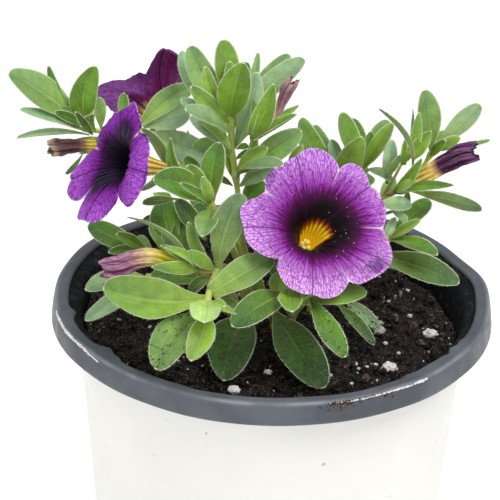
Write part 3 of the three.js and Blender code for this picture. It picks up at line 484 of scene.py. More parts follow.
class Curve:
    """The centripetal Catmull-Rom curve through some points, by share of its length."""

    STEPS = 24

    def __init__(self, points):
        points = np.array(points, float)
        ends = 2 * points[0] - points[1], 2 * points[-1] - points[-2]
        points = np.vstack([ends[0], points, ends[1]])
        share = np.linspace(0, 1, self.STEPS, endpoint=False)[:, None]
        parts = []
        for p0, p1, p2, p3 in zip(points, points[1:], points[2:], points[3:]):
            t0, t1, t2 = (np.linalg.norm(b - a) ** 0.5 for a, b in ((p0, p1), (p1, p2), (p2, p3)))
            start = ((p1 - p0) / t0 - (p2 - p0) / (t0 + t1) + (p2 - p1) / t1) * t1
            stop = ((p2 - p1) / t1 - (p3 - p1) / (t1 + t2) + (p3 - p2) / t2) * t1
            square = -3 * p1 + 3 * p2 - 2 * start - stop
            cube = 2 * p1 - 2 * p2 + start + stop
            parts.append(p1 + start * share + square * share**2 + cube * share**3)
        self.points = np.vstack([*parts, points[-2]])
        steps = np.linalg.norm(np.diff(self.points, axis=0), axis=1)
        self.shares = np.concatenate([[0], np.cumsum(steps)])
        self.length = self.shares[-1]
        self.shares /= self.length

    def at(self, share):
        return trace(share, self.shares, self.points)

    def along(self, share):
        step = 0.004
        return unit(self.at(min(share + step, 1)) - self.at(max(share - step, 0)))


def tube(points, radii, sides, twist=0.0):
    """Rings round a line of points."""
    points = np.asarray(points, float)
    along = unit_rows(np.gradient(points, axis=0))
    normal = np.cross(along[0], UP if abs(along[0][2]) < 0.9 else [0.0, 1.0, 0.0])
    angles = around(sides)
    radii = np.asarray(radii, float)
    radii = np.broadcast_to(radii[:, None] if radii.ndim == 1 else radii, (len(points), sides))
    rings = []
    for index, (point, way) in enumerate(zip(points, along)):
        normal = unit(normal - way * (way @ normal))
        other = np.cross(way, normal)
        turn = angles + twist * index / (len(points) - 1)
        spoke = np.cos(turn)[:, None] * normal + np.sin(turn)[:, None] * other
        rings.append(point + radii[index][:, None] * spoke)
    return np.array(rings)


# ------------------------------------------------------------------ materials


class Shader:
    """A material's node tree: node() adds a node and sets or links its inputs."""

    def __init__(self, name, **values):
        self.material = bpy.data.materials.new(name)
        self.material.use_nodes = True
        self.tree = self.material.node_tree
        self.surface = self.tree.nodes["Principled BSDF"]
        self.fill(self.surface, **values)

    def put(self, socket, value):
        if isinstance(value, bpy.types.NodeSocket):
            self.tree.links.new(value, socket)
        elif isinstance(value, (tuple, list, np.ndarray)) and len(socket.default_value) == 4:
            socket.default_value = (*value[:3], 1)
        else:
            socket.default_value = value

    def fill(self, node, **values):
        """Set or link inputs by their names, with _ for a space."""
        for key, value in values.items():
            self.put(node.inputs[key.replace("_", " ")], value)

    def node(self, kind, *inputs, out=0, **settings):
        made = self.tree.nodes.new("ShaderNode" + kind)
        for key, value in settings.items():
            setattr(made, key, value)
        for socket, value in zip(made.inputs, inputs):
            self.put(socket, value)
        return made.outputs[out]

    def math(self, operation, *inputs):
        return self.node("Math", *inputs, operation=operation)

    def times(self, product, *others):
        for other in others:
            product = self.math("MULTIPLY", product, other)
        return product

    def scaled(self, vector, share):
        made = self.node("VectorMath", vector, operation="SCALE")
        self.fill(made.node, Scale=share)
        return made

    def attribute(self, name, out="Vector"):
        return self.node("Attribute", attribute_name=name, out=out)

    def split(self, vector):
        return self.node("SeparateXYZ", vector).node.outputs

    def noise(self, scale, detail=3.0, roughness=0.55, where=None):
        made = self.node("TexNoise", where or self.node("TexCoord", out="Object"))
        self.fill(made.node, Scale=scale, Detail=detail, Roughness=roughness)
        return made

    def ramp(self, value, low, high, start=0.0, stop=1.0):
        return self.node("MapRange", value, low, high, start, stop, interpolation_type="SMOOTHSTEP")

    def speckle(self, scale, detail, *limits, roughness=0.55):
        """Noise between limits, as for ramp."""
        return self.ramp(self.noise(scale, detail, roughness), *limits)

    def over(self, colour, other, *shares):
        """One colour with another laid over it by the product of some shares."""
        made = self.tree.nodes.new("ShaderNodeMix")
        made.data_type = "RGBA"
        for index, value in ((0, self.times(*shares)), (6, colour), (7, other)):
            self.put(made.inputs[index], value)
        return made.outputs[2]

    def finish(self, colour, rough, height, distance, strength):
        bump = self.node("Bump")
        self.fill(bump.node, Strength=strength, Distance=distance, Height=height)
        self.fill(self.surface, Base_Color=colour, Roughness=rough, Normal=bump)
        return self.material


def foliage():
    """Leaf, sepal and stem: ribs, side veins, a pale downy margin, a paler underside and dirt, pale
    dots of down that are partly painted glints, and painted shade along the fold beside the rib.
    """
    shader = Shader("foliage", Sheen_Weight=0.09, Sheen_Roughness=0.4,
                    Sheen_Tint=(0.9, 1.0, 0.85), Specular_IOR_Level=0.4)
    math_node, times, ramp = shader.math, shader.times, shader.ramp
    over, speckle = shader.over, shader.speckle
    across, along, rim = shader.split(shader.attribute("place"))
    under, dirt, _ = shader.split(shader.attribute("state"))
    away = math_node("ABSOLUTE", across)
    blade_only = ramp(math_node("ABSOLUTE", under), 0.4, 0.6)
    phase = math_node("SUBTRACT", times(along, 7.0), times(away, 1.7))
    wave = math_node("PINGPONG", phase, 0.5)
    veins = times(ramp(wave, 0.4, 0.5), ramp(away, 0.95, 0.6), blade_only)
    midrib = times(ramp(away, 0.12, 0.03), ramp(along, 0.95, 0.2), blade_only,
                   ramp(dirt, 1.0, 0.0, 0.35, 1.0))
    # painted shade: a mask of the fold's trough on each side of the midrib
    crease = ramp(math_node("ABSOLUTE", math_node("SUBTRACT", away, 0.14)), 0.06, 0.0)
    # pale dots of down that also stand for painted glints of light on the hairs
    nap_and_glints = speckle(3000, 2, 0.56, 0.7, roughness=0.6)
    colour = shader.scaled(shader.attribute("tint"),
                           speckle(330, 4, 0.34, 0.66, 0.84, 1.14, roughness=0.6))
    colour = over(colour, linear(180, 205, 120), veins, 0.09)
    # the down's pale dots, partly painted glints
    colour = over(colour, linear(200, 216, 172), nap_and_glints, blade_only, 0.24)
    colour = over(colour, linear(172, 198, 104), midrib, 0.45)
    # painted shade laid along the fold
    colour = over(colour, linear(40, 76, 24), crease, blade_only, 0.22)
    colour = over(colour, linear(150, 182, 128), ramp(under, -0.4, -0.6), 0.45)
    colour = over(colour, linear(226, 236, 194), ramp(rim, 0.08, 0.6), 0.9)
    colour = over(colour, linear(70, 52, 38), speckle(900, 5, 0.56, 0.66, roughness=0.7), dirt)
    height = math_node("ADD", times(veins, -0.5), shader.noise(2600, 3))
    return shader.finish(colour, speckle(1500, 2, 0.3, 0.7, 0.46, 0.66), height, 0.00012, 0.6)


def petal():
    """Petal: its own tint, a net of dark veins whose strength is given point by point, a fine
    velvety grain, and a painted glow where the ink's third value makes the tint emit light.
    """
    shader = Shader("petal", Sheen_Weight=0.04, Sheen_Roughness=0.4, Sheen_Tint=(0.8, 0.6, 1.0),
                    Specular_IOR_Level=0.13, Emission_Strength=1.0)
    tint, net = shader.attribute("tint"), shader.attribute("net")
    main, fine, painted_glow = shader.split(shader.attribute("ink"))

    def vector(operation, one, other):
        return shader.node("VectorMath", one, other, operation=operation)

    def veins(cells, warp, width):
        where = vector("MULTIPLY", net, (*cells, 0.0))
        bend = shader.noise(0.7, 2, where=where).node.outputs["Color"]
        bend = vector("MULTIPLY", vector("SUBTRACT", bend, (0.5, 0.5, 0.5)), (warp, warp, 0.0))
        made = shader.node("TexVoronoi", vector("ADD", where, bend), out="Distance",
                           feature="DISTANCE_TO_EDGE", voronoi_dimensions="2D")
        shader.fill(made.node, Scale=1.0)
        return shader.ramp(made, width, 0.0)

    coarse = shader.times(veins((12.0, 0.22), 1.1, 0.1), main)
    lace = shader.times(veins((18.0, 0.62), 0.9, 0.17), fine, 0.86)
    middle = shader.ramp(shader.math("ABSOLUTE", shader.split(net)[2]), 0.32, 0.1)
    share = shader.math("MAXIMUM", shader.math("MAXIMUM", coarse, lace), shader.times(middle, main))
    share = shader.times(share, 0.92)
    colour = shader.over(tint, vector("MULTIPLY", tint, (0.3, 0.07, 0.35)), share)
    colour = shader.scaled(colour, shader.speckle(900, 4, 0.3, 0.7, 0.86, 1.12))
    # painted glow: the petal emits its own tint, scaled by the ink's third value, as if lit through
    # from behind
    shader.fill(shader.surface, Emission_Color=shader.scaled(tint, painted_glow))
    return shader.finish(colour, shader.speckle(1500, 2, 0.3, 0.7, 0.45, 0.65),
                         shader.math("SUBTRACT", shader.noise(3000, 2), share), 0.00015, 0.7)


def soil():
    """Moist peat, bark and perlite: the tint of each crumb, broken up finely."""
    shader = Shader("potting_mix", Specular_IOR_Level=0.35)
    colour = shader.scaled(shader.attribute("tint"),
                           shader.speckle(1100, 6, 0.4, 0.68, 0.14, 2.1, roughness=0.75))
    specks = shader.speckle(2400, 3, 0.61, 0.67, roughness=0.6)
    colour = shader.over(colour, linear(158, 140, 120), specks, 0.8)
    return shader.finish(colour, shader.speckle(800, 3, 0.35, 0.65, 0.5, 0.95),
                         shader.noise(1700, 6, 0.7), 0.0004, 0.8)


def rim_plastic():
    """The lip: dark grey satin plastic with drifts of dust, and a painted highlight along its outer
    crease.
    """
    shader = Shader("rim_plastic", Specular_IOR_Level=0.45)
    colour = shader.over(linear(72, 76, 84), linear(94, 98, 106), shader.speckle(70, 4, 0.35, 0.7))
    dust = shader.speckle(1600, 4, 0.64, 0.74, roughness=0.7)
    colour = shader.over(colour, linear(170, 168, 162), dust, 0.35)
    # painted highlight: a lighter grey along the lip's outer crease, where a lamp's reflection
    # lies, broken up by noise
    colour = shader.over(colour, linear(152, 158, 168), shader.attribute("wear", "Fac"),
                         shader.speckle(60, 3, 0.4, 0.6, 0.15, 0.8))
    return shader.finish(colour, shader.speckle(240, 4, 0.3, 0.7, 0.32, 0.52),
                         shader.noise(900, 3), 0.00012, 0.35)


def white_plastic():
    """The pot's outside: white with a faint satin and small specks of dirt."""
    shader = Shader("white_plastic", Specular_IOR_Level=0.4)
    drift = shader.speckle(40, 3, 0.35, 0.7)
    colour = shader.over(linear(240, 239, 235), linear(245, 244, 240), drift)
    specks = shader.speckle(520, 2, 0.73, 0.78, roughness=0.4)
    colour = shader.over(colour, linear(120, 112, 100), specks,
                         shader.speckle(90, 2, 0.45, 0.6), 0.7)
    return shader.finish(colour, shader.speckle(260, 3, 0.3, 0.7, 0.34, 0.5),
                         shader.noise(500, 3), 0.0001, 0.25)


def inner_plastic():
    """The pot's inside: black plastic, dusted by the mix."""
    shader = Shader("inner_plastic", Specular_IOR_Level=0.12)
    dust = shader.speckle(500, 5, 0.5, 0.72, roughness=0.65)
    return shader.finish(shader.over(linear(24, 25, 29), linear(58, 60, 65), dust),
                         shader.speckle(200, 3, 0.3, 0.7, 0.6, 0.85),
                         shader.noise(1200, 4), 0.0002, 0.4)


def chalk():
    """Scraped plastic and perlite dust: near white, rough and uneven."""
    shader = Shader("scuff")
    drift = shader.speckle(1400, 4, 0.35, 0.65)
    return shader.finish(shader.over(linear(215, 212, 205), linear(250, 249, 246), drift), 0.8,
                         shader.noise(2500, 4), 0.0002, 0.6)


FOLIAGE = foliage()
PETAL = petal()
SOIL = soil()
RIM = rim_plastic()
WHITE = white_plastic()
INSIDE = inner_plastic()
SCUFF = chalk()

# ------------------------------------------------------------------ blades, stems and hairs

MARGIN = 0.3
MARGIN_COLUMN = 0.97  # stands for the inner edge of the margin
BLADE_COLUMNS = np.array([1, MARGIN_COLUMN, 0.78, 0.45, 0.16, 0, -0.16, -0.45, -0.78,
                          -MARGIN_COLUMN, -1])
HAIR_LENGTH = 0.46
HAIR_RADIUS = 0.034

hairs = []  # (root, direction, length)


def outline(share, widest, foot, point):
    """The half width of a blade, as a share of its widest."""
    rise = foot + (1 - foot) * np.sin(np.clip(share / widest, 0, 1) * math.pi / 2) ** 1.4
    fall = np.clip(1 - (np.clip(share - widest, 0, 1) / (1 - widest)) ** 2, 0, 1) ** (0.5 * point)
    return np.where(share < widest, rise, fall)


def blade(skin, base, tip, width, facing, tone, form=LEAF, bow=0.0, dirt=0.0,
          thickness=LEAF_THICKNESS):
    """A leaf or sepal: folded along its rib, arched, with a thin wavy margin and a rib below."""
    base, tip = np.array(base, float), np.array(tip, float)
    chord = tip - base
    length = np.linalg.norm(chord)
    along = chord / length
    side = unit(np.cross(along, facing))
    up = np.cross(side, along)
    bend, phase, wave, arch, fold = draws.uniform(-1, 1, 5)
    even = np.linspace(0, 1, max(14, min(30, int(length * 1.4))))
    share = 0.45 * even + 0.55 * np.sin(even * math.pi / 2)
    half = np.maximum(width / 2 * outline(share, **form), 0.07)
    middle = base + chord * share[:, None]
    middle += up * (4 * share * (1 - share) * (0.1 + 0.02 * arch) * length)[:, None]
    middle += side * (4 * share * (1 - share) * (bow + 0.012 * bend * length))[:, None]
    inner = np.maximum(1 - MARGIN / half, 0.82)[:, None]
    across = np.where(np.abs(BLADE_COLUMNS) == MARGIN_COLUMN, np.sign(BLADE_COLUMNS) * inner,
                      BLADE_COLUMNS)
    away = np.abs(across)
    grain = share[:, None]
    lift = half[:, None] * (0.28 + 0.06 * fold) * (np.sqrt(away**2 + 0.012) - 0.11)
    lift += half[:, None] * 0.07 * away**2 * np.sin(
        TURN * (1.6 * grain + 0.5 * phase) + np.sign(across) * 1.3 * wave)
    lift += 0.035 * np.sin(TURN * (5.5 * grain - 1.2 * away)) * away * (1 - away) * 4
    thick = 0.55 + 0.45 * np.sin(math.pi * np.clip(grain, 0.1, 0.92))
    thick = thickness / 2 * (1 - away**3) * thick
    groove = 0.14 * np.exp(-(across / 0.1) ** 2) * (1 - grain)
    rib = 0.24 * np.exp(-(across / 0.12) ** 2) * (1 - grain) ** 0.7

    def surface(height):
        return (middle[:, None] + side * (across * half[:, None])[..., None]
                + up * (lift + height)[..., None])

    top = surface(thick - groove)
    under = surface(-thick - rib)
    rings = np.concatenate([under, top[:, -2:0:-1]], axis=1)
    edge = np.concatenate([across, across[:, -2:0:-1]], axis=1)
    place = np.stack([edge, np.broadcast_to(grain, edge.shape), (np.abs(edge) > 0.999) * 1.0], -1)
    place[-1, :, 2] = 1
    state = np.zeros_like(place)
    state[:, :, 0] = 1
    state[:, 1:len(BLADE_COLUMNS) - 1, 0] = -1
    state[:, :, 1] = dirt
    # a random tone for each leaf, and painted light and shade: one half of the folded blade
    # lighter, the other darker
    tone_and_half_shade = tone * (1 + 0.06 * bend) * (1 + 0.16 * np.sign(edge) * np.sign(wave))[..., None]
    pale = ((1 - grain) ** 1.6 * (0.2 if dirt else 0.5))[..., None]
    dull = (smooth(0.45, 1.0, grain) * 0.22)[..., None]
    tint = tone_and_half_shade * (1 - pale) + linear(178, 200, 76) * pale
    tint = tint * (1 - dull) + linear(138, 170, 122) * tone.mean() * 3.4 * dull
    skin.loft(rings, place=place, state=state, tint=tint)
    count = int(length / 0.3)
    for sign, edge_points in ((1, top[:, 0]), (-1, top[:, -1])):
        spots = np.sort(draws.uniform(0.06, 1, count))
        roots = trace(spots, even, edge_points)
        ways = sign * side * 0.9 + along * 0.45 + draws.normal(0, 0.3, (count, 3))
        near_tip = smooth(0.9, 1.0, spots)[:, None]
        ways = ways * (1 - near_tip) + (along + sign * side * 0.3) * near_tip
        hairs.append((roots, ways, HAIR_LENGTH * draws.uniform(0.6, 1.2, count)))
    return top, up


def down(points, radius, density=3.0, length=0.5):
    """Hairs that stand off a stem."""
    steps = np.linalg.norm(np.diff(points, axis=0), axis=1)
    total = steps.sum()
    count = int(total * density)
    share = np.concatenate([[0], np.cumsum(steps)]) / total
    spots = draws.uniform(0, 1, count)
    centre = trace(spots, share, points)
    way = unit_rows(trace(spots, share, np.gradient(points, axis=0)))
    out = unit_rows(np.cross(way, draws.normal(0, 1, (count, 3))))
    size = np.interp(spots, share, np.broadcast_to(radius, len(points)))[:, None]
    lengths = length * draws.uniform(0.5, 1.2, count)
    hairs.append((centre + out * size * 0.97, out + way * 0.2, lengths))


def leaf_facing(light, lean):
    """The way a blade's upper face looks: towards the light, and up by some degrees."""
    compass = unit([*light, 0]) * math.cos(math.radians(lean))
    return compass + UP * math.sin(math.radians(lean))


def whorl_rows(curve, count, first, length, width, seed):
    """One leaf each golden angle, spread wide at the foot and close at the tip."""
    state = seed

    def draw():
        nonlocal state
        state = (state * 1664525 + 1013904223) % 2**32
        return state / 2**32

    rows = []
    for index in range(count):
        rise = index / (count - 1)
        share = first + (1 - first) * rise
        point, along = curve.at(share), curve.along(share)
        one = unit(np.cross(along, UP))
        other = np.cross(one, along)
        turn = index * GOLDEN_ANGLE + draw() * 0.5
        spread = math.radians(62 - 30 * rise)
        reach = length * (1 - 0.35 * rise) * (0.9 + 0.2 * draw())
        tip = point + along * reach * math.cos(spread)
        tip += (one * math.cos(turn) + other * math.sin(turn)) * reach * math.sin(spread)
        tip[2] = max(tip[2], LIP_TOP + 3 * draw())
        tone = ("mid", "fresh", "pale", "deep")[index % 4]
        rows.append((share, tuple(tip), width * (1 - 0.3 * rise), 60, tone))
    return rows


def flower_seat(stalk):
    """A stalk's end, the way its flower faces, and the point where the corolla starts."""
    end = np.array(stalk["path"][-1], float)
    corolla = stalk.get("corolla", {})
    axis = end - stalk["path"][-2]
    if "axis" in corolla:
        axis = corolla["axis"]
    elif corolla:
        axis = np.array(corolla["tip"]) - end
    axis = unit(axis)
    return end, axis, end + axis * CALYX_SEAT


def square_to(axis):
    """Two ways at right angles to an axis, from which the lobes' angles are counted."""
    guess = np.array([0.0, -1.0, 0.0] if axis[0] < -0.7 else [1.0, 0.0, 0.0])
    first = unit(guess - axis * (guess @ axis))
    return first, np.cross(axis, first)


def stem_tint(points, reddish=0.0):
    """Green at the shoot, paler at the foot, with a flush of brown on some stretches."""
    share = np.linspace(0, 1, len(points))[:, None, None]
    green = linear(176, 188, 96) * (1 - share) + linear(190, 208, 104) * share
    flush = 0.5 + 0.5 * np.sin(points[:, 2] * 0.35 + points[:, 0] * 0.2)
    flush = np.minimum(reddish * flush, 1)[:, None, None]
    brown = linear(168, 128, 96) if reddish < 1 else linear(70, 60, 34)
    return green * (1 - flush) + brown * flush


def hints_of(more):
    """The bow and the other hints at the end of a row."""
    return (more[0] if more else 0), dict(more[1] if len(more) > 1 else {})


def leafy_stem(name, plan):
    skin = Skin(place=3, state=3, tint=3)
    x, y = plan["root"]
    buried = [(x, y, z) for z in BURIED_LEVELS]
    curve = Curve(buried + plan["path"])
    light = plan.get("light", (0, -1))
    rows = plan.get("leaves") or whorl_rows(curve, **plan["whorl"])
    shares = np.linspace(0, 1, int(curve.length))
    points = curve.at(shares)
    radius = plan["radius"] * (0.98 - 0.3 * shares)
    for share, *_ in rows:
        if not isinstance(share, tuple):
            radius += 0.14 * np.exp(-((shares - share + 0.01) * curve.length / 1.1) ** 2)
    radius = np.minimum(radius, plan["radius"] * 1.35)
    skin.loft(tube(points, radius, 12), tint=stem_tint(points, 0.12))
    down(points[8:], radius[8:])
    for share, tip, width, lean, tone, *more in rows:
        if isinstance(share, tuple):
            base = share
        else:
            along, base = curve.along(share), curve.at(share)
            out = np.array(tip) - base
            base = base + unit(out - along * (out @ along)) * 0.5
        bow, hints = hints_of(more)
        made = blade(skin, base, tip, width, leaf_facing(light, lean), TONES[tone], bow=bow,
                     **hints)
        if "dirt" in hints:
            soiled.append(made)
    for stalk in plan.get("stalks", []):
        end, axis, _ = flower_seat(stalk)
        line = Curve([curve.at(stalk["at"]), *stalk["path"]])
        way = line.at(np.linspace(0, 1, max(6, int(line.length * 1.5))))
        thick = stalk.get("thick", 0.6)
        skin.loft(tube(way, np.linspace(thick + 0.05, thick, len(way)), 10),
                  tint=stem_tint(way, stalk.get("flush", 0.6)))
        down(way, thick)
        heights = np.array([-1.2, -0.6, 0.2, 1.2, 2.4, 3.4])
        girth = np.array([thick, 1.0, 1.4, 1.6, 1.7, 1.5]) * min(1, thick / 0.6)
        skin.loft(tube(end + axis * heights[:, None], girth, 15), tint=TONES["fresh"])
        for tip, width, tone, *more in stalk["sepals"]:
            bow, hints = hints_of(more)
            reach = np.array(tip) - end
            out = reach - axis * (reach @ axis)
            away = np.linalg.norm(out)
            out = out / away
            tip = np.array(tip) + out * max(0, SEPAL_STANDOFF - away)
            facing = leaf_facing(light, hints.pop("lean")) if "lean" in hints else out
            base = hints.pop("base", end + out)
            blade(skin, base, tip, width, facing, TONES[tone], form=SEPAL, bow=bow,
                  thickness=SEPAL_THICKNESS)
    settle(skin.make(name + "_leafy", FOLIAGE), "leaf", name)


soiled = []
for stem_name, stem_plan in STEMS.items():
    leafy_stem(stem_name, stem_plan)

# ------------------------------------------------------------------ open corollas

# The throat and limb as (reach, depth under the limb's plane), from the deep throat outwards.
FUNNELS = {
    "corolla_front": [(0.9, 15.4), (1.2, 14.2), (1.6, 12.2), (2.2, 9.6), (2.9, 7.4), (3.8, 5.2),
                      (5.0, 3.5), (6.5, 2.2), (8.5, 1.1), (11.0, 0.4), (14.0, 0.1), (18.0, 0.0)],
    "corolla_left": [(0.9, 15.4), (1.2, 14.2), (1.6, 12.2), (2.2, 9.6), (2.9, 7.0), (3.5, 5.0),
                     (4.3, 3.2), (5.4, 1.8), (7.0, 0.8), (9.0, 0.3), (12.0, 0.05), (18.0, 0.0)],
    "corolla_back": [(0.9, 15.4), (1.3, 14.2), (2.0, 12.2), (3.0, 9.6), (4.2, 7.4), (5.4, 5.4),
                     (6.8, 3.8), (8.2, 2.6), (10.0, 1.5), (12.0, 0.7), (15.0, 0.2), (20.0, 0.0)],
}
LIMB_LEVEL = 18.9
THROAT_RADIUS = 0.9
PETAL_THICKNESS = 0.28

# Colours of the open corollas, and how far out the dark throat and its veins reach. A spread is
# (angle, half width, how much further), a nick is a fold of the edge (angle, half width, depth).
BLOOM_PAINT = {
    "corolla_front": dict(
        high=linear(222, 154, 250), low=linear(240, 180, 255), middle=linear(160, 52, 178),
        ring=linear(84, 8, 74), throat=linear(14, 1, 8), dark=(7.4, 11.2),
        spreads=[(358, 40, 3.4), (60, 40, 2.3), (200, 50, -1.4)], nicks=[(329, 8, 1.2)],
        outside=linear(150, 80, 170)),
    "corolla_left": dict(
        high=linear(188, 92, 226), low=linear(194, 100, 230), middle=linear(142, 28, 170),
        ring=linear(64, 6, 74), throat=linear(8, 4, 14), dark=(5.6, 8.2),
        spreads=[(252, 17, 4.6), (95, 24, 4.2), (175, 40, 1.5), (15, 40, -3.2)], nicks=[],
        pinch=(15, 55, 0.35, 0.9),
        outside=linear(120, 40, 150)),
    "corolla_back": dict(
        high=linear(190, 100, 220), low=linear(190, 100, 220), middle=linear(130, 30, 130),
        ring=linear(70, 8, 60), throat=linear(20, 5, 18), dark=(6.0, 9.0),
        spreads=[], nicks=[], outside=linear(118, 24, 100)),
}
YELLOW = linear(238, 190, 20)
STRIPE = linear(80, 38, 14)
GLOW = linear(150, 60, 8)


def limb_outline(lobes, steps=60):
    """Angle, reach, place in the lobe from -1 to 1, and lobe number, all round the limb."""
    parts = []
    for number, (vein, points) in enumerate(lobes):
        xs, ys = np.array(points, float).T
        even = np.linspace(-1, 1, steps, endpoint=False)
        place = 0.5 * np.sin(even * math.pi / 2) + 0.5 * even
        angle = np.where(place < 0, vein + (vein - xs[0]) * place, vein + (xs[-1] - vein) * place)
        dense = np.linspace(xs[0], xs[-1], 400)
        reach = np.interp(dense, xs, ys)
        soft = soften(np.pad(reach, 12, mode="edge"), 25)
        near = smooth(0.0, 0.08, np.minimum(dense - xs[0], xs[-1] - dense) / (xs[-1] - xs[0]))
        reach = reach * (1 - near) + soft * near
        parts.append((angle, np.interp(angle, dense, reach), place, np.full(steps, number)))
    return [np.concatenate(values) for values in zip(*parts)]


def mixed(one, other, amount):
    """A blend of two colours, point by point."""
    return one * (1 - amount[..., None]) + other * amount[..., None]


def near_angle(angle, middle, width):
    """1 at the middle angle in degrees, and falling away on both sides of it."""
    return np.exp(-(((angle - middle + 180) % 360 - 180) / width) ** 2)


def limb_tint(name, reach, angle, place, share):
    """The limb's upper face: white seams at the sinuses, lilac edge, dark throat, yellow depth."""
    paint = BLOOM_PAINT[name]
    inner, outer = paint["dark"]
    further = sum(more * near_angle(angle, middle, width)
                  for middle, width, more in paint["spreads"])
    inward = reach - further
    away = np.abs(place)
    edge = mixed(paint["high"], paint["low"], 0.5 - 0.5 * np.sin(np.radians(angle)))
    turned = np.radians((angle + 180) % 360 - 180)
    feather = 0.7 - 1.3 * np.abs(np.sin(turned * 24 + 0.6)) ** 3 * (0.7 + 0.5 * np.sin(turned * 7))
    feather -= 0.9 * np.abs(np.sin(turned * 41 + 1.7)) ** 2
    feather *= 0.7 if name == "corolla_left" else 1.0
    ragged = inward + feather
    colour = mixed(paint["ring"], paint["middle"], smooth(inner - 0.5, outer - 0.5, ragged))
    colour = mixed(colour, edge, smooth(outer - 2.5, outer + 5.0, ragged))
    ragged = inward + 0.5 * feather
    colour = mixed(paint["throat"], colour, smooth(inner - 3.0, inner + 1.0, ragged))
    gap = (1 - away) * reach
    seam = smooth(0.42, 0.1, gap) * smooth(0.62, 0.9, share) * 0.75
    seam = np.maximum(seam, smooth(1.4, 0.4, gap + 9 * (1 - share)))
    colour = mixed(colour, linear(255, 236, 255), np.clip(seam, 0, 0.92))
    colour = mixed(colour, linear(246, 220, 252), smooth(0.965, 1.0, share) * 0.6)
    vein = np.exp(-(place * reach / 0.5) ** 2) * smooth(3.5, 6, reach) * (0.45 - 0.25 * share)
    colour = mixed(colour, paint["ring"], vein)
    for middle, width, _ in paint["nicks"]:
        # painted shade where the edge curls under at a nick
        fold = near_angle(angle, middle, width) * np.exp(-((share - 0.9) / 0.06) ** 2)
        colour = mixed(colour, linear(74, 50, 104), fold * 0.85)
    yellow = np.zeros_like(reach)
    if name == "corolla_left":
        streak = np.abs(np.sin(place * 9 + 0.5 * np.sin(reach))) ** 10 * smooth(2.5, 4, reach)
        streak = streak * smooth(outer + 1, inner - 1, inward)
        streak = streak * (near_angle(angle, 100, 30) + near_angle(angle, 254, 26))
        colour = mixed(colour, linear(104, 92, 140), np.clip(streak, 0, 1) * 0.4)
    if name == "corolla_front":
        fan = np.interp(turned, np.radians([-60, -22, -8, 20, 63, 100, 135, 165]),
                        [0, 2.1, 4.6, 4.3, 3.8, 3.1, 2.3, 0])
        teeth = 0.7 * np.abs(np.sin(turned * 11)) + 0.3 * np.abs(np.sin(turned * 23))
        fan = fan * (1.06 - 0.15 * teeth)
        colour = mixed(colour, GLOW, smooth(1.0, 0.2, reach - fan) * smooth(0.5, 2, fan))
        yellow = smooth(0.3, -0.3, reach - fan) * smooth(0.5, 2, fan)
        stripes = np.abs(np.sin(turned * 11 + 0.4)) ** 6 * smooth(0.4, 1.0, reach / (fan + 0.01))
        colour = mixed(colour, mixed(YELLOW, STRIPE, stripes * 0.8), yellow)
    ink = np.zeros((*reach.shape, 3))
    ink[..., 0] = smooth(inner - 3.5, outer - 2.5, inward) * (1 - seam)
    ink[..., 1] = smooth(outer - 3, outer + 2, inward) * (1 - seam)
    if name == "corolla_left":
        ink[..., 1] = 1.15 * smooth(inner - 1, outer, np.maximum(inward, reach - 2)) * (1 - seam)
    # painted glow: the yellow depths of the throat emit light
    ink[..., 2] = yellow * 0.3
    return colour, ink


def under_tint(name, reach, place, angle, edge_reach):
    """The outside: a yellow tube with dark stripes that flares into a veined limb."""
    paint = BLOOM_PAINT[name]
    stripes = smooth(0.55, 1.0, np.abs(np.cos(place * math.pi * 1.5)))[..., None]
    tube_colour = linear(246, 214, 104) * (1 - stripes * 0.8) + linear(122, 62, 40) * stripes * 0.8
    vein = np.exp(-(place * reach / 0.35) ** 2)[..., None]
    limb_colour = paint["outside"] * (1 - 0.5 * vein)
    start = 3.6 if name == "corolla_back" else 2.8
    flare = smooth(start, start + 2.4, reach)[..., None]
    if name == "corolla_back":
        # partly the petal's own paler outside and partly painted light: the rolled lobe and the
        # rim, which lie in shade, are made lighter lilac
        rolled_and_lit = smooth(0.42, 0.6, reach / edge_reach) * near_angle(angle, 222, 36)
        rolled_and_lit = np.maximum(rolled_and_lit, 0.7 * smooth(0.9, 1.0, reach / edge_reach))
        limb_colour = mixed(limb_colour, linear(216, 126, 244), np.clip(rolled_and_lit, 0, 0.9))
    ink = np.zeros((*reach.shape, 3))
    ink[..., 0] = smooth(3.5, 6.5, reach)
    ink[..., 1] = smooth(6, 10, reach) * 0.7
    return tube_colour * (1 - flare) + limb_colour * flare, ink


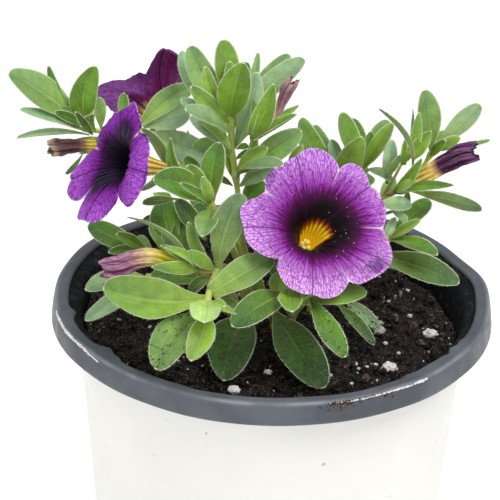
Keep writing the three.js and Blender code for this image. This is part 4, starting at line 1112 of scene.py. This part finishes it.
def open_corolla(stalk):
    name = stalk["corolla"]["name"]
    paint = BLOOM_PAINT[name]
    _, axis, seat = flower_seat(stalk)
    first, second = square_to(axis)
    angle, edge, place, number = limb_outline(LIMBS[name])
    mean = edge.mean()
    turn = np.radians(angle)
    spoke = np.cos(turn)[:, None] * first + np.sin(turn)[:, None] * second
    knots = np.concatenate([np.linspace(0, 0.5, 16, endpoint=False), np.linspace(0.5, 1, 24)])
    reaches = THROAT_RADIUS + (mean - THROAT_RADIUS) * knots ** 1.5
    share = (reaches / mean)[:, None]
    reach = share * (mean + (edge - mean) * share**1.6)
    funnel = np.array(FUNNELS[name])
    middle, width, pinch, bend = paint.get("pinch", (0, 1, 0, 0))
    near = near_angle(angle, middle, width)
    depth = np.interp(reach * (1 + pinch * near), funnel[:, 0], funnel[:, 1])
    away = np.abs(place)
    swell = 0.75 * share**2 * np.cos(place * math.pi)
    swell -= 0.3 * np.exp(-(place * reach / 0.6) ** 2) * share
    swell -= 0.35 * smooth(0.88, 1.0, share) ** 2 * (1 - 0.6 * away)
    swell += 0.2 * np.exp(-((1 - away) * reach / 1.2) ** 2) * share
    swell += 0.2 * share**3 * np.sin(7 * turn + 3 * number) + 0.1 * share**2 * np.sin(23 * turn)
    swell += 0.05 * share * np.sin(61 * turn + 2 * number) * smooth(0.3, 0.6, share)
    for middle, width, fall in paint["nicks"]:
        swell -= fall * near_angle(angle, middle, width) * smooth(0.78, 1.0, share) ** 1.5
    swell -= bend * near * smooth(0.5, 1.0, share)
    folds = smooth(2.5, 4.0, reach) * smooth(9.5, 6.0, reach)
    swell += folds * (0.16 * np.sin(17 * turn) + 0.1 * np.sin(31 * turn + 1.3))
    level = LIMB_LEVEL - depth + swell
    thin = PETAL_THICKNESS * (1 - 0.75 * smooth(0.9, 1.0, share))

    def surface(lower, outer):
        return (seat + axis * (level - lower)[..., None]
                + spoke * (reach + outer)[..., None])

    slope = np.gradient(depth, axis=0) / np.minimum(np.gradient(reach, axis=0), -1e-6) * -1
    steep = np.clip(np.abs(slope), 0, 3)
    normal_up = 1 / np.sqrt(1 + steep**2)
    upper = surface(0, 0)
    lower = surface(thin * normal_up, thin * steep * normal_up)
    tube_heights = np.linspace(0, LIMB_LEVEL - funnel[0, 1] + 0.6, 5)[:-1]
    tube_radius = np.array([1.05, 1.15, 1.25, 1.3])
    outside = np.array([seat + axis * height + spoke * radius
                        for height, radius in zip(tube_heights, tube_radius)])
    rings = np.concatenate([outside, lower, upper[::-1]])
    shape = reach.shape
    top_colour, top_ink = limb_tint(name, reach, angle, place, share)
    low_colour, low_ink = under_tint(name, reach, place, angle, edge)
    tint = np.concatenate([np.broadcast_to(low_colour[0], outside.shape), low_colour,
                           top_colour[::-1]])
    ink = np.concatenate([np.zeros(outside.shape), low_ink, top_ink[::-1]])
    net = np.zeros_like(tint)
    net[..., 0] = place + number * 3.7
    net[..., 1] = np.concatenate([np.zeros((len(outside), 1)), reaches[:, None],
                                  reaches[::-1, None]])
    net[..., 2] = place * net[..., 1]
    skin = Skin(tint=3, net=3, ink=3)
    skin.loft(rings, tint=tint, net=net, ink=ink)
    stamens(skin, seat, axis, first, second)
    if name == "corolla_front":
        for _ in range(90):
            row = int(draws.integers(12, 30))
            column = int(draws.integers(0, shape[1]))
            lean = near_angle(angle[column], 10, 32)
            if draws.uniform() > lean + 0.08 or not 4.5 < reach[row, column] < 11.5:
                continue
            grain = pebble(upper[row, column] + axis * 0.05, draws.uniform(0.12, 0.26))
            skin.add(*grain, tint=linear(225, 205, 225))
    slot = "petal_dark" if name == "corolla_back" else "petal"
    settle(skin.make(name + "_petals", PETAL), slot, name)


def pebble(centre, size, squash=(1, 1, 1), rough=0.25):
    """The points and faces of a rough closed grain."""
    points = PEBBLE_POINTS * (1 + draws.uniform(-rough, rough, (len(PEBBLE_POINTS), 1)))
    turn = np.linalg.qr(draws.normal(0, 1, (3, 3)))[0]
    if np.linalg.det(turn) < 0:
        turn[:, 0] *= -1
    return np.array(centre) + (points * squash * size / 2) @ turn.T, PEBBLE_FACES


def icosphere(level):
    points = []
    golden = (1 + 5**0.5) / 2
    for a in (-1, 1):
        for b in (-golden, golden):
            points += [(0, a, b), (a, b, 0), (b, 0, a)]
    points = [unit(point) for point in points]
    faces = []
    for i in range(12):
        for j in range(i + 1, 12):
            for k in range(j + 1, 12):
                a, b, c = points[i], points[j], points[k]
                if max(np.linalg.norm(a - b), np.linalg.norm(b - c), np.linalg.norm(c - a)) < 1.1:
                    out = np.cross(b - a, c - a) @ a > 0
                    faces.append((i, j, k) if out else (i, k, j))
    for _ in range(level):
        seen, finer = {}, []

        def middle(i, j):
            key = (min(i, j), max(i, j))
            if key not in seen:
                seen[key] = len(points)
                points.append(unit(points[i] + points[j]))
            return seen[key]

        for a, b, c in faces:
            ab, bc, ca = middle(a, b), middle(b, c), middle(c, a)
            finer += [(a, ab, ca), (ab, b, bc), (ca, bc, c), (ab, bc, ca)]
        faces = finer
    return np.array(points), faces


PEBBLE_POINTS, PEBBLE_FACES = icosphere(1)


def stamens(skin, seat, axis, first, second):
    """The stigma and four anthers, deep in the throat."""
    for index in range(5):
        turn = index * TURN / 5 + 0.4
        out = first * math.cos(turn) + second * math.sin(turn)
        top = seat + axis * (8.4 if index else 9.6) + out * (0.95 if index else 0.2)
        line = [seat + axis * 4.5 + out * 0.5, seat + axis * 6.5 + out * 0.7, top]
        # painted glow: the stigma's stalks emit a little light
        skin.loft(tube(Curve(line).at(np.linspace(0, 1, 6)), 0.14, 6), tint=linear(200, 200, 90),
                  ink=(0, 0, 0.25))
        anther = pebble(top, 1.3 if index else 1.5, (1, 0.8, 0.8), 0.12)
        # painted glow: the anthers emit a little light
        skin.add(*anther, tint=linear(236, 214, 110), ink=(0, 0, 0.3))


# ------------------------------------------------------------------ folded corollas

# The line of each folded corolla after its seat, its girth along the line, and its colours.
FOLDED = {
    "corolla_closed_right": dict(
        line=[(34.5, -2.5, 154), (37.8, -4, 157.1), (41.2, -5.5, 160), (44, -6.5, 162.2),
              (46.4, -7, 163)],
        swell=[(0, 1.3), (0.2, 1.8), (0.38, 2.1), (0.55, 2.2), (0.75, 2.5), (0.9, 2.7), (1, 2.2)],
        pleats=7, depth=0.5, twist=0.9, slot="petal_dark", hollow=0.9,
        bands=[(0, 232, 210, 50), (0.24, 255, 238, 110), (0.45, 250, 216, 120),
               (0.55, 96, 48, 80), (0.75, 66, 26, 68), (1, 110, 64, 112)],
        striped=0.75),
    "corolla_bud_front": dict(
        line=[(-21.7, -24.3, 140.9), (-24.9, -24.6, 141.7), (-28.9, -25.5, 142.7),
              (-32.5, -26.4, 142.2), (-35.8, -27, 140.9), (-39.4, -27, 140.2)],
        swell=[(0, 1.3), (0.2, 1.8), (0.5, 2.1), (0.68, 2.3), (0.84, 2.7), (0.94, 2.5), (1, 1.6)],
        pleats=6, depth=0.4, twist=1.6, slot="petal_bud", hollow=0,
        bands=[(0, 204, 206, 40), (0.34, 222, 210, 50), (0.48, 232, 210, 136),
               (0.6, 206, 160, 150), (0.74, 146, 78, 118), (1, 156, 92, 130)],
        striped=0.45, ridge=linear(236, 206, 226)),
    "corolla_wilted_left": dict(
        line=[(-45.8, 2, 158.4), (-48.9, 1, 158.6), (-51.5, 0.5, 158.5), (-53.7, 0, 158.4)],
        swell=[(0, 1.3), (0.25, 1.5), (0.45, 1.6), (0.7, 1.85), (0.9, 2.3), (1, 1.9)],
        pleats=5, depth=0.55, twist=0.8, slot="petal_wilted", hollow=1.5,
        bands=[(0, 200, 190, 60), (0.26, 220, 200, 80), (0.36, 150, 118, 90), (0.48, 96, 66, 64),
               (0.85, 96, 68, 72), (1, 206, 182, 152)],
        striped=0.6),
    "corolla_wilted_centre": dict(
        line=[(0.1, -1.5, 169.5), (1.2, -0.8, 172.3), (2.3, -0.2, 175.1), (3.5, 0, 177)],
        swell=[(0, 0.8), (0.3, 0.8), (0.5, 0.95), (0.7, 1.4), (0.88, 1.75), (1, 1.1)],
        pleats=5, depth=0.6, twist=1.2, slot="petal_wilted", hollow=1.0,
        bands=[(0, 170, 168, 80), (0.3, 196, 160, 130), (0.5, 178, 132, 134),
               (0.8, 150, 104, 118), (1, 206, 168, 160)], striped=0.3),
}


def folded_corolla(stalk):
    name = stalk["corolla"]["name"]
    form = FOLDED[name]
    _, _, seat = flower_seat(stalk)
    path = Curve([seat, *form["line"]])
    count, sides = 48, 66
    share = np.linspace(0, 1, count)
    line = path.at(share)
    swell = np.interp(share, *np.array(form["swell"]).T)
    swell = soften(np.pad(swell, 3, mode="edge"), 7)
    turn = around(sides)
    grip = smooth(0.15, 0.75, share)[:, None]
    phase = form["pleats"] * turn + 2.2 * share[:, None]
    pleat = np.abs(np.sin(phase / 2)) ** 0.8
    crease = 0.09 * np.sin(13 * turn + 9 * share[:, None]) + 0.06 * np.sin(
        21 * turn - 14 * share[:, None])
    radii = swell[:, None] * (1 - form["depth"] * grip * (1 - pleat) + grip * crease)
    rings = tube(line, radii, sides, form["twist"])
    ragged = smooth(0.8, 1.0, share)[:, None, None] * draws.normal(0, 0.1, (1, sides, 1))
    ragged = ragged + smooth(0.6, 1.0, share)[:, None, None] * 0.3 * np.sin(2 * turn + 1)[:, None]
    rings = rings + ragged * 2.4 * unit(line[-1] - line[-4])
    stops = [stop for stop, *_ in form["bands"]]
    colours = np.array([linear(*rgb) for _, *rgb in form["bands"]])
    tint = trace(share, stops, colours)[:, None, :]
    stripes = smooth(0.6, 0.95, np.abs(np.cos(turn * 5)))[None, :, None]
    early = smooth(0.55, 0.3, share)[:, None, None]
    tint = tint * (1 - form["striped"] * stripes * early * np.array([0.75, 0.95, 1.0]))
    # painted light and shade: where the pleats grip, the tint is lighter on their ridges and darker
    # in their furrows
    light = (0.6 + 0.62 * pleat * grip + 0.4 * (1 - grip))[..., None]
    tint = tint * light
    ridge = (smooth(0.93, 1.0, pleat) * grip)[..., None] * 0.35
    net = smooth(0.86, 1.0, np.abs(np.sin(9 * turn + 5 * share[:, None])))[..., None]
    ridge = np.maximum(ridge, 0.6 * net * smooth(0.62, 0.8, share)[:, None, None])
    tint = tint * (1 - ridge) + form.get("ridge", linear(176, 140, 150)) * ridge
    ink = np.zeros((count, sides, 3))
    ink[..., 0] = smooth(0.45, 0.6, share)[:, None] * 0.7
    net = np.zeros((count, sides, 3))
    net[..., 0] = turn * 0.8
    net[..., 1] = share[:, None] * path.length
    net[..., 2] = 9
    if form["hollow"]:
        inward = unit(line[-4] - line[-1]) * form["hollow"]
        last = rings[-1]
        middle = last.mean(0)
        inner = np.array([middle + (last - middle) * scale + inward * fall
                          for scale, fall in ((0.9, 0.05), (0.78, 0.4), (0.6, 0.8), (0.25, 1.0))])
        # painted shade: the rings inside the hollow mouth take a quarter of the last tint
        rings, tint, ink, net = (
            np.concatenate([values, np.broadcast_to(more, inner.shape)])
            for values, more in ((rings, inner), (tint, tint[-1] * 0.25), (ink, 0), (net, net[-1])))
    skin = Skin(tint=3, net=3, ink=3)
    skin.loft(rings, tint=tint, ink=ink, net=net)
    settle(skin.make(name + "_folds", PETAL), form["slot"], name)
    down(line, swell, 4.0, 0.4)


for stem_plan in STEMS.values():
    for flower in stem_plan.get("stalks", []):
        if "axis" in flower.get("corolla", {}):
            open_corolla(flower)
        elif "corolla" in flower:
            folded_corolla(flower)


def make_hairs():
    roots, ways, lengths = (np.concatenate(values) for values in zip(*hairs))
    ways = unit_rows(ways)
    one = unit_rows(np.cross(ways, UP + 0.01))
    other = np.cross(ways, one)
    corners = []
    for turn in (0, TURN / 3, 2 * TURN / 3):
        spoke = one * math.cos(turn) + other * math.sin(turn)
        corners.append(roots + spoke * HAIR_RADIUS - ways * 0.04)
    corners.append(roots + ways * lengths[:, None])
    points = np.stack(corners, 1)
    pattern = np.array([[0, 1, 3], [1, 2, 3], [2, 0, 3], [0, 2, 1]])
    faces = (np.arange(len(roots))[:, None, None] * 4 + pattern).reshape(-1, 3).tolist()
    skin = Skin()
    skin.add(points, faces)
    shader = Shader("down", Roughness=0.6, Sheen_Weight=0.2)
    colour = shader.over(linear(196, 214, 150), linear(222, 230, 196),
                         shader.speckle(300, 2, 0.3, 0.7))
    shader.fill(shader.surface, Base_Color=colour)
    settle(skin.make("leaf_down", shader.material), "leaf")


make_hairs()

# ------------------------------------------------------------------ the potting mix


def mix_height(x, y):
    """The mix's surface, which falls to the right and rises to the back."""
    lumps = math.sin(0.3 * x + 0.6) * math.cos(0.26 * y)
    return MIX_LEVEL - 0.05 * x + 0.03 * y + lumps


def wall_inside(z):
    return FOOT_RADIUS + (NECK_RADIUS - FOOT_RADIUS) / NECK_HEIGHT * z - POT_WALL


PEAT = [linear(*rgb) for rgb in (
    (15, 12, 11), (23, 18, 16), (38, 29, 24), (11, 9, 9), (62, 46, 37), (27, 22, 20), (94, 76, 61),
    (13, 11, 10), (20, 16, 15))]
PERLITE = [
    ((28.2, -20), 3.4), ((39.4, -2), 3.2), ((27, 0.8), 1.6), ((-8.6, -35.6), 2.6),
    ((-0.8, -25.4), 1.8), ((25.1, -17.7), 1.1), ((28, -7.2), 1.1), ((-37.5, 0.2), 1.7),
    ((20.7, -33.4), 2), ((30.9, -12.4), 0.9), ((14.2, -22.5), 0.9), ((32.1, 25.8), 0.9),
    ((29.9, 13.4), 1), ((34.8, 6.6), 1.2), ((35.2, 21.4), 1), ((22.9, -19.7), 0.9),
    ((20.9, -20.7), 0.8), ((19, -27.1), 0.9), ((-7.9, 10.3), 1.2), ((-29.6, -7.9), 0.9),
    ((38.6, -10.6), 0.8), ((26.7, -2.9), 2.6), ((17.1, -35.5), 0.9),
]


MIX_EDGE = wall_inside(MIX_LEVEL) - CLEARANCE - 0.1
CRUMBS = 2200
SPLINTERS = 170


def mix_spot(share):
    """A random point of the mix's surface, within a share of its edge."""
    reach = MIX_EDGE * math.sqrt(draws.uniform(0, 1)) * share
    angle = draws.uniform(0, TURN)
    return reach * math.cos(angle), reach * math.sin(angle)


def mix_bed():
    """The mix from the pot's floor up, lumpy on top."""
    skin = Skin(tint=3)
    sides = 300
    turn = around(sides)
    radii = np.linspace(MIX_EDGE, 0.4, 92)
    x = radii[:, None] * np.cos(turn)
    y = radii[:, None] * np.sin(turn)
    z = np.empty_like(x)
    tint = np.empty((*x.shape, 3))
    dark, warm = PEAT[0], PEAT[2]
    for index in np.ndindex(x.shape):
        spot = Vector((x[index], y[index], 0))
        lump = noise.fractal(spot * 0.35, 0.9, 2.1, 5) * 1.1 + noise.noise(spot * 1.5) * 0.35
        z[index] = mix_height(x[index], y[index]) + lump - 0.3
        share = min(1, max(0, noise.noise(spot * 0.6 + Vector((9, 4, 2))) * 0.9 + 0.3))
        tint[index] = dark * (1 - share) + warm * share
    bottom = POT_FLOOR + CLEARANCE
    lower = [level_ring(0.5, turn, bottom)]
    for level in (bottom, bottom + 0.3, 60, 100):
        lower.append(level_ring(wall_inside(level) - CLEARANCE, turn, level))
    rings = np.concatenate([np.array(lower), np.stack([x, y, z], -1)])
    skin.loft(rings, tint=np.concatenate([np.broadcast_to(dark, (len(lower), sides, 3)), tint]))
    settle(skin.make("mix_bed", SOIL), "mix", "potting_mix")


def mix_crumbs():
    """Loose crumbs and splinters of bark on top."""
    crumbs = Skin(tint=3)
    for _ in range(CRUMBS):
        cx, cy = mix_spot(0.985)
        size = draws.choice([0.6, 1.0, 1.6, 2.6, 3.6], p=[0.36, 0.35, 0.2, 0.075, 0.015])
        squash = (1, draws.uniform(0.4, 0.9), draws.uniform(0.35, 0.8))
        centre = (cx, cy, mix_height(cx, cy) + draws.uniform(-0.3, 0.5))
        grain = pebble(centre, size, squash, 0.4)
        colour = PEAT[int(draws.integers(len(PEAT)))]
        if size < 1.2 and draws.uniform() < 0.16:
            colour = linear(214, 204, 190)
        crumbs.add(*grain, tint=colour)
    for _ in range(SPLINTERS):
        cx, cy = mix_spot(0.95)
        way = unit([*draws.normal(0, 1, 2), 0.25 * draws.normal()])
        length = draws.uniform(1.5, 5)
        start = np.array([cx, cy, mix_height(cx, cy) + 0.35])
        middle = start + way * length / 2 + draws.normal(0, 0.3, 3)
        line = Curve([start, middle, start + way * length]).at(np.linspace(0, 1, 7))
        radius = draws.uniform(0.08, 0.22)
        crumbs.loft(tube(line, radius * np.array([0.4, 0.9, 1, 1.1, 1, 0.8, 0.3]), 6),
                    tint=(linear(96, 66, 42), linear(60, 42, 30))[int(draws.integers(2))])
    settle(crumbs.make("mix_crumbs", SOIL, flat=True), "mix")


def perlite():
    """The white grains, where the photo shows them."""
    grains = Skin()
    fine_points, fine_faces = icosphere(3)
    for (gx, gy), size in PERLITE:
        points = []
        offset = Vector(draws.uniform(-9, 9, 3))
        for point in fine_points:
            bumps = noise.fractal(Vector(point) * 1.9 + offset, 0.7, 2.1, 4)
            points.append(point * (1 + 0.34 * bumps))
        points = np.array(points) * (size / 2 * np.array([1.05, 0.85, 0.75]))
        points = points + (gx, gy, mix_height(gx, gy) + size * 0.22)
        grains.add(points, fine_faces)
    settle(grains.make("perlite", SCUFF), "mix")


mix_bed()
mix_crumbs()
perlite()

# ------------------------------------------------------------------ the pot


def rim_sway(degrees):
    """How far the soft lip bulges outwards and upwards."""
    turn = np.radians(degrees)
    sway = 0.16 * np.sin(3 * turn + 0.8) + 0.1 * np.sin(7 * turn + 2.0) + 0.06 * np.sin(13 * turn)
    for angle, width, swell in ((148, 24, 1.05), (185, 20, 0.25), (24, 8, -0.5), (12, 9, 0.75),
                                (54, 14, 1.0)):
        sway = sway + swell * near_angle(degrees, angle, width)
    return sway, 0.14 * np.sin(2 * turn + 1.0) + 0.08 * np.sin(5 * turn) + 0.05 * np.sin(17 * turn)


def pot_shell():
    # The outline from the foot up the outside, over the lip and down the inside, as (radius,
    # height, zone), with zone 1 for the white outside and 2 for the black inside.
    profile = [
        (FOOT_RADIUS - 1.3, 0.0, 1), (FOOT_RADIUS - 0.6, 0.0, 1), (FOOT_RADIUS, 0.5, 1),
        (FOOT_RADIUS + 2.2, 30, 1), (FOOT_RADIUS + 4.37, 60, 1), (FOOT_RADIUS + 6.55, 90, 1),
        (FOOT_RADIUS + 8.37, 115, 1), (NECK_RADIUS - 0.1, 117.4, 1), (NECK_RADIUS + 0.2, 118, 0),
        (NECK_RADIUS + 0.6, 118.2, 0), (51.2, 118.2, 0), (51.8, 118.0, 0), (52.1, 117.4, 0),
        (SKIRT_INSIDE, SKIRT_EDGE + 0.2, 0), (SKIRT_INSIDE + 0.2, SKIRT_EDGE, 0),
        (SKIRT_RADIUS - 0.3, SKIRT_EDGE, 0), (SKIRT_RADIUS, SKIRT_EDGE + 0.3, 0),
        (53.85, 116.6, 0), (53.7, 117.8, 0), (53.5, 119.0, 0), (53.32, 119.9, 0), (53.2, 120.35, 0),
        (52.95, 120.72, 0), (52.6, 120.9, 0), (52.0, 120.98, 0), (51.2, 121.0, 0), (50.6, 121.0, 0),
        (50.1, 120.88, 0), (49.8, 120.6, 0), (49.7, 120.3, 2), (49.55, 119.9, 2), (49.1, 119.5, 2),
        (48.2, 119, 2), (47.3, 118.3, 2), (46.75, 117.2, 2), (46.45, 115.6, 2),
        *((wall_inside(z), z, 2) for z in (113.6, 100, 60, 20, POT_FLOOR)),
        (FOOT_RADIUS - 2.2, 1.1, 2),
    ]
    sides = 360
    turn = around(sides)
    degrees = np.degrees(turn)
    radius, level, zone = (np.array(column)[:, None] * np.ones(sides) for column in zip(*profile))
    top = smooth(112, 118, level)
    sway, rise = rim_sway(degrees)
    radius += top * sway
    level += top * rise
    inner = smooth(50.9, 49.8, radius) * smooth(118.4, 120.0, level)
    flaws = sum(size * near_angle(degrees, angle, width) for size, angle, width in (
        (-1.9, 218.5, 3.0), (-0.9, 223.5, 2.0), (-1.3, 194.0, 2.4), (-0.7, 329.0, 2.0),
        (-0.5, 334.0, 1.4), (-0.6, 309.0, 1.6), (0.5, 325.5, 1.0), (-0.4, 246.0, 2.6),
        (0.3, 250.5, 1.6), (-0.6, 316.0, 7.0), (0.4, 293.0, 9.0)))
    radius += inner * flaws
    index = np.arange(radius.size).reshape(radius.shape)
    following = np.roll(index, -1, 0)
    faces = np.stack([index, np.roll(index, -1, 1), np.roll(following, -1, 1), following], -1)
    outside = (zone == 1) & (np.roll(zone, -1, 0) == 1)
    outside[-1] = False
    skin = Skin(wear=1)
    # painted highlight: the mask that lightens the lip along its rounded outer crease
    crease = np.exp(-((radius - sway * top - 52.85) / 0.3) ** 2) * (level > 120)
    skin.add(level_ring(radius, turn, level), faces.reshape(-1, 4).tolist(),
             wear=crease[..., None])
    skin.marks = np.where(outside, 1, np.where(zone == 2, 2, 0)).ravel().tolist()
    settle(skin.make("pot_shell", RIM, WHITE, INSIDE), "pot", "pot")


def pot_base():
    """The floor plate with its drain holes."""
    loops = [(FOOT_RADIUS - 1.0) * np.stack([np.cos(around(96)), np.sin(around(96))], -1)]
    for index in range(DRAIN_HOLES):
        centre = (index + 0.5) / DRAIN_HOLES * TURN
        loops.append(DRAIN_RING * np.array([math.cos(centre), math.sin(centre)])
                     + DRAIN_RADIUS * np.stack([np.cos(around(40)), np.sin(around(40))], -1))
    flat = [point for loop in loops for point in loop]
    triangles = geometry.tessellate_polygon([[Vector((*point, 0)) for point in loop]
                                             for loop in loops])
    total = len(flat)
    plate = Skin()
    points = [(*point, height) for height in (0.02, POT_FLOOR - 0.05) for point in flat]
    faces = []
    for a, b, c in triangles:
        area = ((flat[b][0] - flat[a][0]) * (flat[c][1] - flat[a][1])
                - (flat[b][1] - flat[a][1]) * (flat[c][0] - flat[a][0]))
        a, b, c = (a, b, c) if area > 0 else (a, c, b)
        faces.append((c, b, a))
        faces.append((a + total, b + total, c + total))
    start = 0
    for number, loop in enumerate(loops):
        for index in range(len(loop)):
            a, b = start + index, start + (index + 1) % len(loop)
            wall_face = (a, b, b + total, a + total)
            faces.append(wall_face if number == 0 else wall_face[::-1])
        start += len(loop)
    plate.add(points, faces)
    settle(plate.make("pot_base", INSIDE, flat=True), "pot")


def rim_point(angle, lower=0.0):
    """A point on the crease of the lip, or so far below it on the skirt."""
    turn = math.radians(angle)
    sway, rise = rim_sway(angle)
    reach = CREASE_RADIUS + SKIRT_SLOPE * lower + sway
    height = CREASE_HEIGHT - lower + rise
    return np.array([reach * math.cos(turn), reach * math.sin(turn), height])


def scrape(skin, start, stop, width, lower):
    """A ragged pale scrape along the crease."""
    count = int((stop - start) * 6)
    angles = np.linspace(start, stop, count)
    ragged = soften(draws.normal(0, 1, count + 8), 9)
    line = np.array([rim_point(angle, lower(share) + 0.12 * jag)
                     for angle, share, jag in zip(angles, np.linspace(0, 1, count), ragged)])
    size = width * np.sin(np.linspace(0.05, 0.97, count) * math.pi) ** 0.4
    size = size * np.clip(1 + 0.5 * soften(draws.normal(0, 1, count + 2), 3), 0.6, 1.3)
    skin.loft(tube(line, size / 2, 8))


def rim_marks():
    """Scrapes along the lip's crease, and crumbs of mix on the lip and on the lowest leaves."""
    skin = Skin()
    for start, stop, width, lower in (
            (192.5, 221.5, 0.66, lambda share: 2.4 * max(0, share - 0.72) - 0.05),
            (284, 295, 0.3, lambda share: 0.2), (294.5, 308, 0.42, lambda share: 0.15),
            (307.5, 312, 0.7, lambda share: 0.1)):
        scrape(skin, start, stop, width, lower)
    settle(skin.make("rim_scrapes", SCUFF), "pot")
    crumbs = Skin(tint=3)
    bark = [linear(92, 66, 46), linear(66, 46, 34), linear(128, 96, 72)]
    for middle, spread, count, low in ((286.5, 3.2, 170, 0.9), (299.5, 2.2, 38, 0.8),
                                       (308.5, 1.6, 22, 0.4), (292, 6, 30, 0.5)):
        for _ in range(count):
            spot = rim_point(draws.normal(middle, spread * 0.5), abs(draws.normal(0, low)))
            grain = pebble(spot, draws.uniform(0.25, 0.8), (1, 0.5, 0.4), 0.3)
            crumbs.add(*grain, tint=bark[int(draws.integers(3))])
    for top, up in soiled:
        for _ in range(60):
            row = int(draws.integers(3, top.shape[0] - 1))
            column = int(draws.integers(1, top.shape[1] - 1))
            spot = top[row, column] + up * 0.05 + draws.normal(0, 0.12, 3)
            size = draws.choice([0.18, 0.28, 0.5], p=[0.5, 0.38, 0.12])
            grain = pebble(spot, size, (1, 0.7, 0.5), 0.3)
            colour = PEAT[int(draws.integers(len(PEAT)))]
            if draws.uniform() < 0.2:
                colour = linear(190, 185, 170)
            crumbs.add(*grain, tint=colour)
    settle(crumbs.make("loose_dirt", SOIL, flat=True), "mix")


pot_shell()
pot_base()
rim_marks()

# ------------------------------------------------------------------ camera, floor and light

CAMERA_AT = (-0.005678, -0.434397, 0.347648)
CAMERA_DOWN = math.radians(26.3465)
CAMERA_ROLL = math.radians(1.3391)
CAMERA_LENS = 143.44
FLOOR_REACH = 6000


def make_camera():
    forward = Vector((0, math.cos(CAMERA_DOWN), -math.sin(CAMERA_DOWN)))
    level = Vector((1, 0, 0))
    above = level.cross(forward)
    right = level * math.cos(CAMERA_ROLL) + above * math.sin(CAMERA_ROLL)
    above = above * math.cos(CAMERA_ROLL) - level * math.sin(CAMERA_ROLL)
    data = bpy.data.cameras.new("camera")
    data.lens = CAMERA_LENS
    data.sensor_width = 36
    data.clip_start = 0.01
    data.clip_end = 20
    camera = bpy.data.objects.new("camera", data)
    turn = Matrix((right, above, -forward)).transposed().to_4x4()
    camera.matrix_world = Matrix.Translation(CAMERA_AT) @ turn
    bpy.context.scene.collection.objects.link(camera)
    bpy.context.scene.camera = camera


def make_floor():
    skin = Skin()
    corners = [(x * FLOOR_REACH, y * FLOOR_REACH, -0.05) for x, y in
               ((-1, -1), (1, -1), (1, 1), (-1, 1))]
    skin.add(corners, [(0, 1, 2, 3)])
    shader = Shader("floor", Base_Color=linear(250, 250, 248), Roughness=0.9,
                    Emission_Color=(1, 1, 1), Emission_Strength=0.3)
    skin.make("floor", shader.material)


def lamp(name, place, aim, size, power):
    data = bpy.data.lights.new(name, "AREA")
    data.size = size
    data.energy = power
    light = bpy.data.objects.new(name, data)
    light.location = place
    light.rotation_euler = (Vector(aim) - Vector(place)).to_track_quat("-Z", "Y").to_euler()
    bpy.context.scene.collection.objects.link(light)


def make_light():
    world = bpy.data.worlds.new("studio")
    bpy.context.scene.world = world
    world.use_nodes = True
    world.node_tree.nodes["Background"].inputs["Color"].default_value = (1, 1, 1, 1)
    world.node_tree.nodes["Background"].inputs["Strength"].default_value = 0.48
    lamp("key", (0.35, -0.4, 0.95), (0, 0, 0.13), 0.45, 5.0)
    lamp("top", (-0.2, 0.35, 1.1), (0, 0, 0.13), 0.5, 2.6)
    lamp("fill", (-0.7, -0.6, 0.5), (0, 0, 0.13), 0.6, 1.3)
    bpy.context.scene.view_settings.view_transform = "Standard"
    bpy.context.scene.view_settings.look = "None"


make_camera()
make_floor()
make_light()
